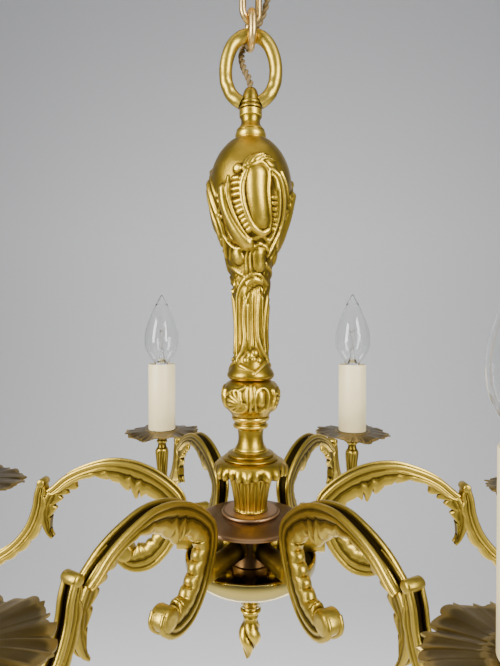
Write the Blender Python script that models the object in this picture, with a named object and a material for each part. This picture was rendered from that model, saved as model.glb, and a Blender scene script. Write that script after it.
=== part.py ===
"""Six-arm brass chandelier on a short chain, as separate parts in one frame.

The origin is the middle of the ceiling plate's top face and everything hangs below it.
The six arms stand every sixty degrees, the first one along +X. Sizes are millimetres.
"""

import math

import bmesh
import bpy
from mathutils import Matrix, Vector

MM = 0.001
GAP = 0.3            # clearance left between two parts that touch
STEPS = 20           # flats round a turned part
ARMS = 6

# Ceiling fitting
CANOPY_R = 42.0
CANOPY_DROP = 38.0
CANOPY_WALL = 1.4
PLATE = (66.0, 16.0, 3.0)
SCREW_SPACING = 50.0
SCREW_HOLE_R = 2.3
HOOK_WIRE = 4.4
HOOK_R = 6.4         # middle of the wire, in the hook's bend
SHANK_DROP = 44.6    # where the hook's bend begins
CHAIN_GAP = 0.5      # between two links, so that they can swing

# Chain: outside length, outside width, wire, and the turn of the link's plane from X
UPPER_LINK = (32.0, 17.0, 4.4, 38.0)
LOWER_LINK = (26.0, 20.6, 5.2, 102.0)

# Suspension ring
RING_WIRE = 8.6
RING_HALF_W = 16.2   # middle of the wire
RING_H = 52.3        # outer top to the underside of its foot

# Column: outer radius at its main places, height of each casting
TUBE_R = 4.0
TUBE_BORE = 2.9
BORE_R = TUBE_R + GAP
BELL_H = 19.4
VASE_H = 153.2
VASE_R = 27.4
KNOP_H = 23.7
KNOP_R = 19.6
NECK_H = 21.2
CROWN_H = 16.4
CROWN_R = 24.8
CUP_H = 22.0
DISC_H = 8.2
DISC_R = 33.5
DRUM_H = 25.0
DRUM_R = 12.7
COVER_T = 1.4
COVER_R = 36.4
BOWL_H = 34.5
BOWL_R = 42.4
BOWL_WALL = 1.5
COLLAR_H = 7.2
FINIAL_H = 28.7

# Arm, in its own plane: distance from the column's axis, height over the stub's axis
ARM_REACH = 189.0    # column axis to candle axis
ARM_BACK = 42.2      # column axis to the back of the scroll
ARM_W = 10.4
GROOVE_W = 4.8
GROOVE_DEEP = 3.0
STUB_R = 6.2
PAN_LEVEL = 36.0     # underside of the drip pan over the stub's axis
STEM_R = 4.6

# Candle
PAN_R = 37.0
PAN_T = 1.2
SLEEVE_R = 13.25
SLEEVE_WALL = 0.9
SLEEVE_H = 65.0
HOLDER_FIT = 0.95
HOLDER_R = SLEEVE_R - SLEEVE_WALL - HOLDER_FIT
CAP_R = 6.9
CAP_H = 23.0
GLASS_R = 17.2
GLASS_H = 69.5
GLASS_WALL = 0.9

# Twisted flex
FLEX_R = 2.2


# ------------------------------------------------------------------ helpers

def fresh_scene():
    for old in list(bpy.data.objects):
        bpy.data.objects.remove(old, do_unlink=True)


def metal(name, colour, rough, metallic=1.0):
    made = bpy.data.materials.get(name) or bpy.data.materials.new(name)
    made.use_nodes = True
    shader = made.node_tree.nodes["Principled BSDF"]
    shader.inputs["Base Color"].default_value = (*colour, 1.0)
    shader.inputs["Roughness"].default_value = rough
    shader.inputs["Metallic"].default_value = metallic
    return made


def put(name, bm, material, smooth=True):
    """Turns a bmesh in millimetres into a named object in metres."""
    bmesh.ops.remove_doubles(bm, verts=bm.verts, dist=1e-4)
    bmesh.ops.recalc_face_normals(bm, faces=bm.faces)
    bmesh.ops.scale(bm, vec=(MM, MM, MM), verts=bm.verts)
    mesh = bpy.data.meshes.new(name)
    bm.to_mesh(mesh)
    bm.free()
    for face in mesh.polygons:
        face.use_smooth = smooth
    mesh.materials.append(material)
    made = bpy.data.objects.new(name, mesh)
    bpy.context.scene.collection.objects.link(made)
    return made


def turned_mesh(outline, steps=STEPS):
    """A body of revolution about Z. An outline that starts and ends on the axis is open
    there, and any other outline is closed on itself."""
    bm = bmesh.new()
    verts = [bm.verts.new((r, 0, z)) for r, z in outline]
    pairs = list(zip(verts, verts[1:]))
    if outline[0][0] > 0:
        pairs.append((verts[-1], verts[0]))
    edges = [bm.edges.new(pair) for pair in pairs]
    bmesh.ops.spin(bm, geom=verts + edges, axis=(0, 0, 1), cent=(0, 0, 0),
                   angle=2 * math.pi, steps=steps, use_merge=True)
    bmesh.ops.remove_doubles(bm, verts=bm.verts, dist=1e-4)
    return bm


def turned(name, outline, material, top=0.0, steps=STEPS):
    bm = turned_mesh(outline, steps)
    bmesh.ops.translate(bm, vec=(0, 0, top), verts=bm.verts)
    return put(name, bm, material)


def bored(outline, bore=BORE_R):
    """Closes an outside outline, listed from top to bottom, with a straight bore."""
    return [(bore, outline[0][1]), *outline, (bore, outline[-1][1])]


def smooth_line(points, per=3, closed=False):
    """A Catmull-Rom curve through the points, with `per` pieces between two of them."""
    pts = [Vector(p) for p in points]
    n = len(pts)
    spans = n if closed else n - 1
    line = []
    for i in range(spans):
        if closed:
            a, b, c, d = (pts[(i + k) % n] for k in (-1, 0, 1, 2))
        else:
            a, b, c, d = (pts[min(max(i + k, 0), n - 1)] for k in (-1, 0, 1, 2))
        for k in range(per):
            t = k / per
            line.append(0.5 * (2 * b + (c - a) * t + (2 * a - 5 * b + 4 * c - d) * t ** 2
                               + (3 * b - a - 3 * c + d) * t ** 3))
    if not closed:
        line.append(pts[-1])
    return line


def tube_mesh(line, radius, sides=10, closed=False):
    """A round tube along a line of points, with capped ends unless it is closed."""
    bm = bmesh.new()
    n = len(line)
    rings = []
    across = None
    for i, p in enumerate(line):
        if closed:
            along = (line[(i + 1) % n] - line[i - 1]).normalized()
        else:
            along = (line[min(i + 1, n - 1)] - line[max(i - 1, 0)]).normalized()
        if across is None:
            across = along.orthogonal().normalized()
        across = (across - along * across.dot(along)).normalized()
        up = along.cross(across)
        rings.append([bm.verts.new(p + radius * (across * math.cos(a) + up * math.sin(a)))
                      for a in (2 * math.pi * k / sides for k in range(sides))])
    for i in range(n if closed else n - 1):
        low, high = rings[i], rings[(i + 1) % n]
        shift = 0
        if closed and i == n - 1:
            shift = min(range(sides), key=lambda s: (high[s].co - low[0].co).length)
        for k in range(sides):
            bm.faces.new((low[k], low[(k + 1) % sides],
                          high[(k + 1 + shift) % sides], high[(k + shift) % sides]))
    if not closed:
        bm.faces.new(rings[0])
        bm.faces.new(rings[-1])
    return bm


def combine(target, tool, how):
    """Applies a Boolean with another object, which is then removed."""
    tool.display_type = "WIRE"
    tool.hide_render = True
    cut = target.modifiers.new(how.lower(), "BOOLEAN")
    cut.operation = how
    cut.solver = "EXACT"
    cut.object = tool
    graph = bpy.context.evaluated_depsgraph_get()
    mesh = bpy.data.meshes.new_from_object(target.evaluated_get(graph))
    target.modifiers.clear()
    target.data = mesh
    bpy.data.objects.remove(tool, do_unlink=True)
    return target


def polar(radius, degrees, z=0.0):
    a = math.radians(degrees)
    return Vector((radius * math.cos(a), radius * math.sin(a), z))


# ---------------------------------------------------------------- materials

GILT = metal("gilt_brass", (0.56, 0.40, 0.13), 0.34)
WAXED = metal("patinated_brass", (0.26, 0.16, 0.085), 0.42)
PAN = metal("drip_pan_bronze", (0.27, 0.21, 0.12), 0.45)
POLISHED = metal("polished_brass", (0.50, 0.40, 0.20), 0.16)
LINK = metal("chain_copper_brass", (0.42, 0.28, 0.14), 0.32)
CREAM = metal("candle_cream", (0.90, 0.84, 0.70), 0.45, 0.0)
HOLDER = metal("holder_brass", (0.55, 0.50, 0.42), 0.35)
GLASS = metal("bulb_glass", (0.92, 0.94, 0.94), 0.03, 0.0)
CAP = metal("bulb_cap_brass", (0.62, 0.52, 0.34), 0.30)
FLEX = metal("twisted_flex", (0.45, 0.33, 0.13), 0.60, 0.0)


# ------------------------------------------------------------ heights, down

HOOK_Z = -SHANK_DROP - HOOK_WIRE / 2 - 2 * HOOK_R          # middle of the hook's wire
UPPER_TOP = HOOK_Z + HOOK_WIRE / 2 + CHAIN_GAP + UPPER_LINK[2]
UPPER_BAR = UPPER_TOP - UPPER_LINK[0] + UPPER_LINK[2] / 2  # middle of its lower bar
LOWER_TOP = UPPER_BAR + UPPER_LINK[2] / 2 + CHAIN_GAP + LOWER_LINK[2]
LOWER_BAR = LOWER_TOP - LOWER_LINK[0] + LOWER_LINK[2] / 2
RING_TOP = LOWER_BAR + LOWER_LINK[2] / 2 + CHAIN_GAP + RING_WIRE
BELL_TOP = RING_TOP - RING_H - GAP
VASE_TOP = BELL_TOP - BELL_H - GAP
KNOP_TOP = VASE_TOP - VASE_H - GAP
NECK_TOP = KNOP_TOP - KNOP_H - GAP
CROWN_TOP = NECK_TOP - NECK_H - GAP
CUP_TOP = CROWN_TOP - CROWN_H - GAP
DISC_TOP = CUP_TOP - CUP_H - GAP
DRUM_TOP = DISC_TOP - DISC_H - GAP
COVER_TOP = DRUM_TOP - DRUM_H - GAP
STUB_Z = DRUM_TOP - DRUM_H / 2
BOWL_TOP = COVER_TOP + 6.0
COLLAR_TOP = BOWL_TOP - BOWL_H - GAP
FINIAL_TOP = COLLAR_TOP - COLLAR_H - GAP
MOUND_TOP = RING_TOP - RING_H + 13.6


# ---------------------------------------------------------- ceiling fitting

def ceiling_plate():
    """Flat iron bar against the ceiling, with a screw hole at each end."""
    bm = bmesh.new()
    bmesh.ops.create_cube(bm, size=1)
    bmesh.ops.scale(bm, vec=PLATE, verts=bm.verts)
    bmesh.ops.translate(bm, vec=(0, 0, -PLATE[2] / 2), verts=bm.verts)
    made = put("ceiling_plate", bm, WAXED, smooth=False)
    for side in (1, -1):
        tool = turned("screw_hole", [(0, 2), (SCREW_HOLE_R, 2), (SCREW_HOLE_R, -PLATE[2] - 2),
                                     (0, -PLATE[2] - 2)], WAXED, steps=24)
        tool.location = (side * SCREW_SPACING / 2 * MM, 0, 0)
        made = combine(made, tool, "DIFFERENCE")
    return made


def canopy():
    """Spun rose that hides the plate, bored for the hook's shank and the flex."""
    r, h, w = CANOPY_R, CANOPY_DROP, CANOPY_WALL
    outside = [(r, -0.4), (r, -6), (r - 3, -9.5), (r - 6, -13), (r - 14, -22),
               (r - 18, -28), (r - 20, -33), (r - 22, -h)]
    inside = [(x - w, z + w) for x, z in reversed(outside[1:-1])]
    hole = HOOK_WIRE / 2 + 2 * GAP
    made = turned("canopy", [*outside, (hole, -h), (hole, -h + w), *inside, (r - w, -0.4)], GILT)
    tool = turned("flex_hole", [(0, 8), (FLEX_R + GAP, 8), (FLEX_R + GAP, -3), (0, -3)],
                  GILT, steps=12)
    tool.location = FLEX_EXIT * MM
    return combine(made, tool, "DIFFERENCE")


def canopy_nut():
    hole = HOOK_WIRE / 2 + GAP
    top = -CANOPY_DROP - GAP
    return turned("canopy_nut", [(hole, 0), (6.4, 0), (6.4, -3.6), (5.2, -4.6), (hole, -4.6)],
                  GILT, top, steps=16)


def ceiling_hook():
    """Round hook: a straight shank from the plate, then three quarters of a ring."""
    bend = Vector((0, 0, HOOK_Z + HOOK_R))
    turn = Matrix.Rotation(math.radians(UPPER_LINK[3] + 90), 3, "Z")
    arc = [Vector((math.cos(a), 0, math.sin(a))) * HOOK_R
           for a in (math.radians(150 + 16 * k) for k in range(15))]
    shank = [Vector((0, 0, -PLATE[2] - GAP)), Vector((0, 0, -24)),
             Vector((0, 0, -SHANK_DROP)), turn @ Vector((-0.30, 0, 0)) * HOOK_R
             + Vector((0, 0, -SHANK_DROP - 2.6))]
    line = shank + [turn @ p + bend for p in arc]
    return put("ceiling_hook", tube_mesh(line, HOOK_WIRE / 2, 10), LINK)


# -------------------------------------------------------------------- chain

def chain_link(name, size, top):
    """Oval link that stands upright, its plane turned about Z."""
    length, width, wire, turn = size
    r = (width - wire) / 2
    half = (length - width) / 2
    line = [Vector((r * math.cos(a), 0, r * math.sin(a) + (half if a < math.pi else -half)))
            for a in (math.radians(22.5 * k + 0.01) for k in range(16))]
    spin = Matrix.Rotation(math.radians(turn), 3, "Z")
    middle = Vector((0, 0, top - length / 2))
    return put(name, tube_mesh([spin @ p + middle for p in line], wire / 2, 10, True), LINK)


def suspension_ring():
    """Egg-shaped ring with its two ends cast into a round foot, hollow for the flex."""
    w = RING_HALF_W
    foot = RING_TOP - RING_H
    top = RING_TOP - RING_WIRE / 2 - foot
    side = [(0.0, top), (0.42 * w, top - 1.6), (0.72 * w, top - 6.2), (0.91 * w, top - 13.4),
            (w, top - 21.5), (0.985 * w, top - 28.5), (0.85 * w, top - 35.4),
            (0.60 * w, top - 40.9), (0.32 * w, top - 43.8)]
    half = [Vector((x, 0, z + foot)) for x, z in side]
    line = [Vector((-p.x, 0, p.z)) for p in reversed(half[1:])] + half
    ring = put("suspension_ring", tube_mesh(smooth_line(line, 2), RING_WIRE / 2, 10), GILT)
    mound = MOUND_TOP - foot
    body = turned("foot", [(0, mound), (3.6, mound), (5.0, mound - 3), (6.0, mound - 7.5),
                           (6.9, 2.6), (7.4, 0), (0, 0)], GILT, foot, steps=20)
    ring = combine(ring, body, "UNION")
    step = 3.0
    bore = turned("bore", [(0, mound + 1), (FLEX_R + GAP, mound + 1), (FLEX_R + GAP, step),
                           (BORE_R, step), (BORE_R, -3), (0, -3)], GILT, foot, steps=16)
    return combine(ring, bore, "DIFFERENCE")


# ------------------------------------------------------------------- column

def neck_bell():
    h = BELL_H
    return turned("neck_bell", bored([(7.2, 0), (7.5, -2), (7.3, -5), (6.8, -7.5),
                                      (7.4, -9.8), (8.6, -11.4), (9.6, -14), (11.1, -17),
                                      (11.0, -h)]), GILT, BELL_TOP)


def vase():
    """Swelling rococo casting that narrows to a long waist and flares again."""
    h, r = VASE_H, VASE_R
    return turned("vase", bored([(11.4, 0), (0.56 * r, -0.02 * h), (0.78 * r, -0.065 * h),
                                 (0.93 * r, -0.125 * h), (r, -0.19 * h), (0.985 * r, -0.25 * h),
                                 (0.90 * r, -0.32 * h), (0.755 * r, -0.395 * h),
                                 (0.60 * r, -0.48 * h), (0.47 * r, -0.58 * h),
                                 (0.405 * r, -0.70 * h), (0.37 * r, -0.80 * h),
                                 (0.40 * r, -0.89 * h), (0.50 * r, -0.955 * h),
                                 (0.60 * r, -0.985 * h), (0.56 * r, -h)]), GILT, VASE_TOP)


def knop():
    h, r = KNOP_H, KNOP_R
    return turned("knop", bored([(0.66 * r, 0), (0.88 * r, -0.16 * h), (r, -0.40 * h),
                                 (0.95 * r, -0.62 * h), (0.80 * r, -0.82 * h),
                                 (0.66 * r, -h)]), GILT, KNOP_TOP)


def turned_neck():
    h = NECK_H
    return turned("turned_neck", bored([(12.4, 0), (10.6, -2.6), (10.6, -4.6), (11.5, -6.2),
                                        (10.8, -8.2), (8.5, -10.2), (8.1, -14.0),
                                        (8.7, -17.6), (10.4, -h)]), GILT, NECK_TOP)


def crown():
    h, r = CROWN_H, CROWN_R
    return turned("crown_collar", bored([(11.0, 0), (12.0, -2.2), (15.6, -3.6), (16.8, -4.8),
                                         (0.84 * r, -6.6), (0.96 * r, -9.4), (r, -12.4),
                                         (0.94 * r, -h + 0.8), (14.4, -h)]), GILT, CROWN_TOP)


def fluted_cup():
    """Tapering cup with a flute under each leaf of its rim."""
    h = CUP_H
    top, low, flutes = 14.0, 11.0, 12
    bm = bmesh.new()
    levels = [(-0.0, top), (-0.28 * h, top - 0.9), (-0.86 * h, low), (-h, low + 0.4)]
    count = flutes * 2
    rings = []
    for z, r in levels:
        rings.append([bm.verts.new(polar(r * (1 - 0.055 * (k % 2)), 360 * k / count, z))
                      for k in range(count)])
    for z in (-h, 0.0):
        rings.append([bm.verts.new(polar(BORE_R, 360 * k / count, z)) for k in range(count)])
    for i, low_ring in enumerate(rings):
        high_ring = rings[(i + 1) % len(rings)]
        for k in range(count):
            bm.faces.new((low_ring[k], low_ring[(k + 1) % count],
                          high_ring[(k + 1) % count], high_ring[k]))
    bmesh.ops.translate(bm, vec=(0, 0, CUP_TOP), verts=bm.verts)
    return put("fluted_cup", bm, GILT)


# ---------------------------------------------------------------------- hub

def hub_disc():
    """Shallow patinated dish with a raised ring round its middle."""
    h, r = DISC_H, DISC_R
    return turned("hub_disc", [(BORE_R, 0), (16.2, 0), (18.8, -0.7), (18.8, -2.2),
                               (19.6, -2.8), (0.84 * r, -4.1), (r, -5.6), (r, -h),
                               (r - 1.4, -h), (r - 2.2, -6.6), (16, -5.2), (BORE_R, -5.2)],
                  WAXED, DISC_TOP, steps=24)


def hub_drum():
    return turned("hub_drum", bored([(DRUM_R - 0.6, 0), (DRUM_R, -0.6), (DRUM_R, -DRUM_H + 0.6),
                                     (DRUM_R - 0.6, -DRUM_H)]), WAXED, DRUM_TOP)


def bowl_cover():
    return turned("bowl_cover", bored([(COVER_R, 0), (COVER_R, -COVER_T)]),
                  WAXED, COVER_TOP, steps=24)


def bowl():
    """Spun brass dish with an upright rim and a coned underside."""
    h, r, w = BOWL_H, BOWL_R, BOWL_WALL
    outside = [(r - 0.7, 0), (r, -0.9), (r, -6.2), (r - 2.6, -8.4), (30, -13.2),
               (22, -19), (14, -26), (9.2, -31), (7.4, -h)]
    inside = [(BORE_R, -h), (BORE_R, -h + 3), (8.4, -30 + w), (13.6, -25 + w), (21.4, -18 + w),
              (29.4, -12.8 + w), (r - 3.8, -8.5 + w), (r - w - 0.6, -5.6), (r - w - 0.6, 0)]
    return turned("bowl", outside + inside, POLISHED, BOWL_TOP, steps=24)


def finial_collar():
    neck = BORE_R + 0.9
    return turned("finial_collar", bored([(6.4, 0), (4.9 + 1.2, -1.0), (6.6, -2.2), (6.8, -3.4),
                                          (6.2, -4.8), (neck, -6.0), (neck, -COLLAR_H)]),
                  GILT, COLLAR_TOP)


def finial():
    """Twisted flame: turned outline whose sections wind and lean as they go down."""
    h, lobes, count, neck = FINIAL_H, 3, 18, BORE_R + 0.8
    rows = [(0.0, neck, 0), (0.08, neck + 0.2, 0), (0.2, neck + 0.9, 20), (0.36, 7.4, 55), (0.52, 7.2, 95),
            (0.68, 5.6, 135), (0.84, 3.4, 170), (0.95, 1.6, 195)]
    bm = bmesh.new()
    rings = []
    for t, r, twist in rows:
        lean = Vector((-1.8 * t ** 2, 0, -t * h))
        rings.append([bm.verts.new(lean + polar(r * (1 + 0.12 * min(1, 6 * t) *
                                                     math.cos(math.radians(lobes * (a - twist)))), a))
                      for a in (360 * k / count for k in range(count))])
    for low, high in zip(rings, rings[1:]):
        for k in range(count):
            bm.faces.new((low[k], low[(k + 1) % count], high[(k + 1) % count], high[k]))
    tip = bm.verts.new((-1.8, 0, -h))
    for k in range(count):
        bm.faces.new((rings[-1][k], rings[-1][(k + 1) % count], tip))
    bm.faces.new(rings[0])
    bmesh.ops.translate(bm, vec=(0, 0, FINIAL_TOP), verts=bm.verts)
    made = put("finial", bm, GILT)
    socket = turned("socket", [(0, 2), (BORE_R, 2), (BORE_R, -6.0), (0, -6.0)], GILT,
                    FINIAL_TOP, steps=16)
    return combine(made, socket, "DIFFERENCE")


def tie_tube():
    """Hollow rod that clamps the whole column, with the wires inside it."""
    top = RING_TOP - RING_H + 3.0 - GAP
    low = FINIAL_TOP - 6.0 + GAP
    return turned("tie_tube", [(TUBE_BORE, top), (TUBE_R, top), (TUBE_R, low),
                               (TUBE_BORE, low)], WAXED, steps=16)


# --------------------------------------------------------------------- arms

DRAWN_REACH = 189.0
DRAWN_BACK = 42.2


def spread(points):
    """Stretches drawn arm points to the arm's real reach."""
    wide = (ARM_REACH - ARM_BACK) / (DRAWN_REACH - DRAWN_BACK)
    return [(ARM_BACK + (x - DRAWN_BACK) * wide, z) for x, z in points]


def arm_outlines():
    """Outer line of the arm, with the groove's depth at each point, and inner line."""
    eye, eye_r = Vector((82.4, -8.0)), 6.3
    roll = [(eye.x + eye_r * math.cos(a), eye.y + eye_r * math.sin(a))
            for a in (math.radians(150 - 30 * k) for k in range(6))]
    scroll = [(86.4, -14.6), (81, -18.9), (74, -20.3), (66, -18.6), (59, -14.2), (52, -5.7),
              (46.6, 4.6), (43.2, 13.5), (42.2, 22), (44.4, 29.5), (50, 36), (57.5, 41.9),
              (66, 47), (76, 50.7), (86, 52.4), (95, 52.3), (104, 50.1), (114, 46.6),
              (122.5, 42), (130, 35.4)]
    knee = Vector((137.3, 36.0))
    bead = [(knee.x + 3.6 * math.cos(a), knee.y + 3.6 * math.sin(a))
            for a in (math.radians(190 - 38 * k) for k in range(6))]
    tail = [(142.2, 30), (143.6, 21), (147.2, 11), (152, 3.6), (157.5, -2.4), (164.3, -7.5),
            (172, -11.8), (179, -13.6), (184.4, -12.4)]
    outer = [(p, 0.0) for p in roll]
    outer += [(p, GROOVE_DEEP * min(1.0, i / 2)) for i, p in enumerate(scroll)]
    outer[-1] = (outer[-1][0], 0.0)
    outer += [(p, 0.0) for p in bead]
    outer += [(p, GROOVE_DEEP * min(1.0, 0.5 + i)) for i, p in enumerate(tail)]
    outer[-1] = (outer[-1][0], 0.0)
    inner = [(187.5, -9.0), (192.6, -9.0), (192.4, -14.8), (187, -19.4), (180, -20.4),
             (172, -18.6), (164.3, -14.4), (155, -9), (147, -2.5), (141.5, 3), (137, 7.5),
             (134.6, 1.0), (131, -0.9), (128.8, 3), (129.3, 14), (124.7, 12.5), (122.7, 17),
             (122.6, 25), (120.4, 31.5), (116, 37), (110.5, 40), (104, 41.4), (98, 41),
             (92, 38.4), (84.5, 33.2), (82.0, 35.2), (71.5, 27.9), (69.5, 31.5), (61.5, 24),
             (58.2, 20), (57.8, 15.5), (61.2, 10.5), (59.4, 7.5), (65.2, 2.6), (64.6, -0.6),
             (70.8, -3.2), (71.4, -6.2)]
    return outer, inner


def grooved_plate(outer, inner):
    """An upright plate with the arm's outline, a groove sunk along its outer edge."""
    bm = bmesh.new()
    half, slot = ARM_W / 2, GROOVE_W / 2
    points = spread([p for p, _ in outer])
    deep = [d for _, d in outer]
    inside = spread(inner)
    n = len(points)

    def inward(i):
        a, b = points[max(i - 1, 0)], points[min(i + 1, n - 1)]
        along = Vector((b[0] - a[0], b[1] - a[1])).normalized()
        return Vector((along.y, -along.x))

    rows = {}
    for side in (1, -1):
        rows["edge", side] = [bm.verts.new((x, side * half, z)) for x, z in points]
        rows["lip", side] = [bm.verts.new((x, side * slot, z)) for x, z in points]
        rows["floor", side] = []
        for i, (x, z) in enumerate(points):
            if deep[i] == 0:
                rows["floor", side].append(rows["lip", side][i])
            else:
                away = inward(i) * deep[i]
                rows["floor", side].append(bm.verts.new((x + away.x, side * slot, z + away.y)))
        rows["inner", side] = [bm.verts.new((x, side * half, z)) for x, z in inside]
    for side in (1, -1):
        for i in range(n - 1):
            for a, b in (("edge", "lip"), ("lip", "floor")):
                quad = [rows[a, side][i], rows[a, side][i + 1],
                        rows[b, side][i + 1], rows[b, side][i]]
                quad = [v for k, v in enumerate(quad) if v not in quad[:k]]
                if len(quad) > 2:
                    bm.faces.new(quad)
        bm.faces.new(rows["edge", side] + rows["inner", side])
    for i in range(n - 1):
        bm.faces.new((rows["floor", 1][i], rows["floor", 1][i + 1],
                      rows["floor", -1][i + 1], rows["floor", -1][i]))
    for i in range(len(inside) - 1):
        bm.faces.new((rows["inner", 1][i], rows["inner", 1][i + 1],
                      rows["inner", -1][i + 1], rows["inner", -1][i]))
    for end, near in ((-1, 0), (0, -1)):
        bm.faces.new((rows["edge", 1][end], rows["lip", 1][end], rows["lip", -1][end],
                      rows["edge", -1][end], rows["inner", -1][near], rows["inner", 1][near]))
    bmesh.ops.recalc_face_normals(bm, faces=bm.faces)
    bmesh.ops.triangulate(bm, faces=bm.faces, ngon_method="EAR_CLIP")
    return bm


def arm_template():
    """Plate, stub and stem in one casting, along +X with the stub's axis at z = 0."""
    outer, inner = arm_outlines()
    arm = put("arm_template", grooved_plate(outer, inner), GILT, smooth=False)
    stub = turned("stub", [(0, DRUM_R + GAP), (STUB_R - 0.5, DRUM_R + GAP),
                           (STUB_R, DRUM_R + GAP + 0.5), (STUB_R, ARM_BACK + 5.6),
                           (0, ARM_BACK + 5.6)], GILT, steps=16)
    stub.rotation_euler = (0, math.pi / 2, 0)
    arm = combine(arm, stub, "UNION")
    r, top = STEM_R, PAN_LEVEL - GAP
    stem = turned("stem", [(0, -17.2), (r - 1.4, -17.2), (r + 0.3, -12), (r + 0.8, -2),
                           (r + 1.1, 6), (r + 1.9, 13.6), (r + 1.6, 17.6), (r - 0.6, 21.6),
                           (r - 0.4, 25), (r + 0.6, 28.4), (r + 3.4, top - 1.4), (r + 3.4, top),
                           (0, top)], GILT, steps=14)
    stem.location = (ARM_REACH * MM, 0, 0)
    return combine(arm, stem, "UNION")


def arms():
    template = arm_template()
    made = []
    for i in range(ARMS):
        arm = bpy.data.objects.new(f"arm_{i + 1}", template.data.copy())
        bpy.context.scene.collection.objects.link(arm)
        arm.location = (0, 0, STUB_Z * MM)
        arm.rotation_euler = (0, 0, math.radians(60 * i))
        made.append(arm)
    bpy.data.objects.remove(template, do_unlink=True)
    return made


# ------------------------------------------------------------------ candles

def candle_place(made, i):
    made.location = polar(ARM_REACH, 60 * i, STUB_Z + PAN_LEVEL) * MM
    made.rotation_euler = (0, 0, math.radians(60 * i))
    return made


def drip_pan(i):
    """Pressed leaf pan: flat middle, then lobes that droop and rise by turns."""
    bm = bmesh.new()
    count = 24
    rings = []
    for under in (0, 1):
        rows = [(6.0, 0, 0), (16.0, 0, 0), (PAN_R, -3.2, 1)]
        for r, z, wave in (rows if under else reversed(rows)):
            ring = []
            for k in range(count):
                a = 360 * k / count
                lobe = wave * 1.4 * math.cos(math.radians(12 * a))
                lift = wave * 1.1 * math.cos(math.radians(4 * a))
                ring.append(bm.verts.new(polar(r + lobe, a, z + lift + PAN_T * (1 - under))))
            rings.append(ring)
    for j, low in enumerate(rings):
        high = rings[(j + 1) % len(rings)]
        for k in range(count):
            bm.faces.new((low[k], low[(k + 1) % count], high[(k + 1) % count], high[k]))
    return candle_place(put(f"drip_pan_{i + 1}", bm, PAN), i)


def candle_sleeve(i):
    r, w, z = SLEEVE_R, SLEEVE_WALL, PAN_T + GAP
    return candle_place(turned(f"candle_sleeve_{i + 1}",
                               [(r - w, z), (r, z), (r, z + SLEEVE_H), (r - w, z + SLEEVE_H)],
                               CREAM), i)


def lampholder(i):
    """Holder inside the sleeve, on a spigot through the pan, bored for the bulb's cap."""
    top = PAN_T + SLEEVE_H - 1.6
    deep = top - CAP_H - 1.0
    bore = CAP_R + GAP
    return candle_place(turned(f"lampholder_{i + 1}",
                               [(0, GAP), (5.4, GAP), (5.4, PAN_T + GAP), (HOLDER_R, PAN_T + GAP),
                                (HOLDER_R, top - 10), (bore + 2, top - 8), (bore + 2, top), (bore, top),
                                (bore, deep), (0, deep)], HOLDER, steps=16), i)


def bulb_cap(i):
    top = PAN_T + SLEEVE_H - 0.6
    return candle_place(turned(f"bulb_cap_{i + 1}",
                               [(0, top - CAP_H), (3.6, top - CAP_H), (5.6, top - CAP_H + 3),
                                (CAP_R, top - CAP_H + 5), (CAP_R, top), (0, top)],
                               CAP, steps=16), i)


def bulb_glass(i):
    """Candle-shaped envelope, open at the neck where the cap closes it."""
    z, h, r, w = PAN_T + SLEEVE_H - 0.6 + GAP, GLASS_H, GLASS_R, GLASS_WALL
    outside = [(6.4, 0), (8.6, 0.05 * h), (13.6, 0.15 * h), (r - 0.5, 0.29 * h),
               (r - 0.3, 0.42 * h), (0.77 * r, 0.62 * h), (0.44 * r, 0.82 * h),
               (0.16 * r, 0.96 * h), (0, h)]
    inside = [(0, h - 1.2 * w), (0.40 * r - w / 2, 0.81 * h), (0.76 * r - w, 0.61 * h),
              (r - 0.3 - w, 0.42 * h), (r - 0.5 - w, 0.29 * h), (13.5 - w, 0.16 * h),
              (6.4 - w, 0)]
    outline = [(x, y + z) for x, y in inside + outside]
    return candle_place(turned(f"bulb_glass_{i + 1}", outline, GLASS, steps=14), i)


# --------------------------------------------------------------------- flex

# Route of the flex from the canopy to the ring's foot. It passes to the right of the
# upper link, behind the lower link and the ring's top, then comes forward inside the ring.
FLEX_EXIT = Vector((13.0, 5.0, -CANOPY_DROP))
FLEX_UPPER = [(13.0, 5.0, -37.2), (13.0, 5.0, -42.5), (12.9, 5.2, -48.0), (12.4, 5.7, -53.5),
              (11.6, 6.5, -59.0), (10.4, 7.6, -64.0)]
FLEX_MIDDLE = [(10.25, 7.75, -64.6), (8.9, 9.3, -68.8), (6.8, 11.4, -72.8),
               (4.1, 13.1, -76.8), (1.2, 13.8, -81.0), (-1.7, 13.5, -85.3)]
FLEX_LOWER = [(-2.0, 13.4, -85.8), (-4.3, 12.2, -90.2), (-5.9, 10.2, -94.8),
              (-6.4, 7.8, -99.6), (-5.8, 5.5, -104.8), (-4.4, 3.5, -110.2),
              (-2.4, 1.6, -114.8), (-0.7, 0.4, -119.4), (0.0, 0.0, -124.2),
              (0.0, 0.0, -128.4), (0.0, 0.0, -132.5)]


def flex(name, route):
    line = [Vector(p) for p in route]
    curve = bpy.data.curves.new(name, "CURVE")
    curve.dimensions = "3D"
    curve.bevel_depth = FLEX_R * MM
    curve.bevel_resolution = 3
    curve.use_fill_caps = True
    spline = curve.splines.new("POLY")
    fine = smooth_line(line, 2)
    spline.points.add(len(fine) - 1)
    for point, place in zip(spline.points, fine):
        point.co = (*(place * MM), 1.0)
    curve.materials.append(FLEX)
    made = bpy.data.objects.new(name, curve)
    bpy.context.scene.collection.objects.link(made)
    return made


# ----------------------------------------------------------------- assembly

def joint_empty(name, z):
    made = bpy.data.objects.new(name, None)
    made.location = (0, 0, z * MM)
    bpy.context.scene.collection.objects.link(made)
    return made


def hang(parent, children):
    """Parents pieces to an empty on their joint's axis and keeps their places."""
    for child in children:
        child.parent = parent
        child.matrix_parent_inverse = Matrix.Translation(-parent.location)


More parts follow.
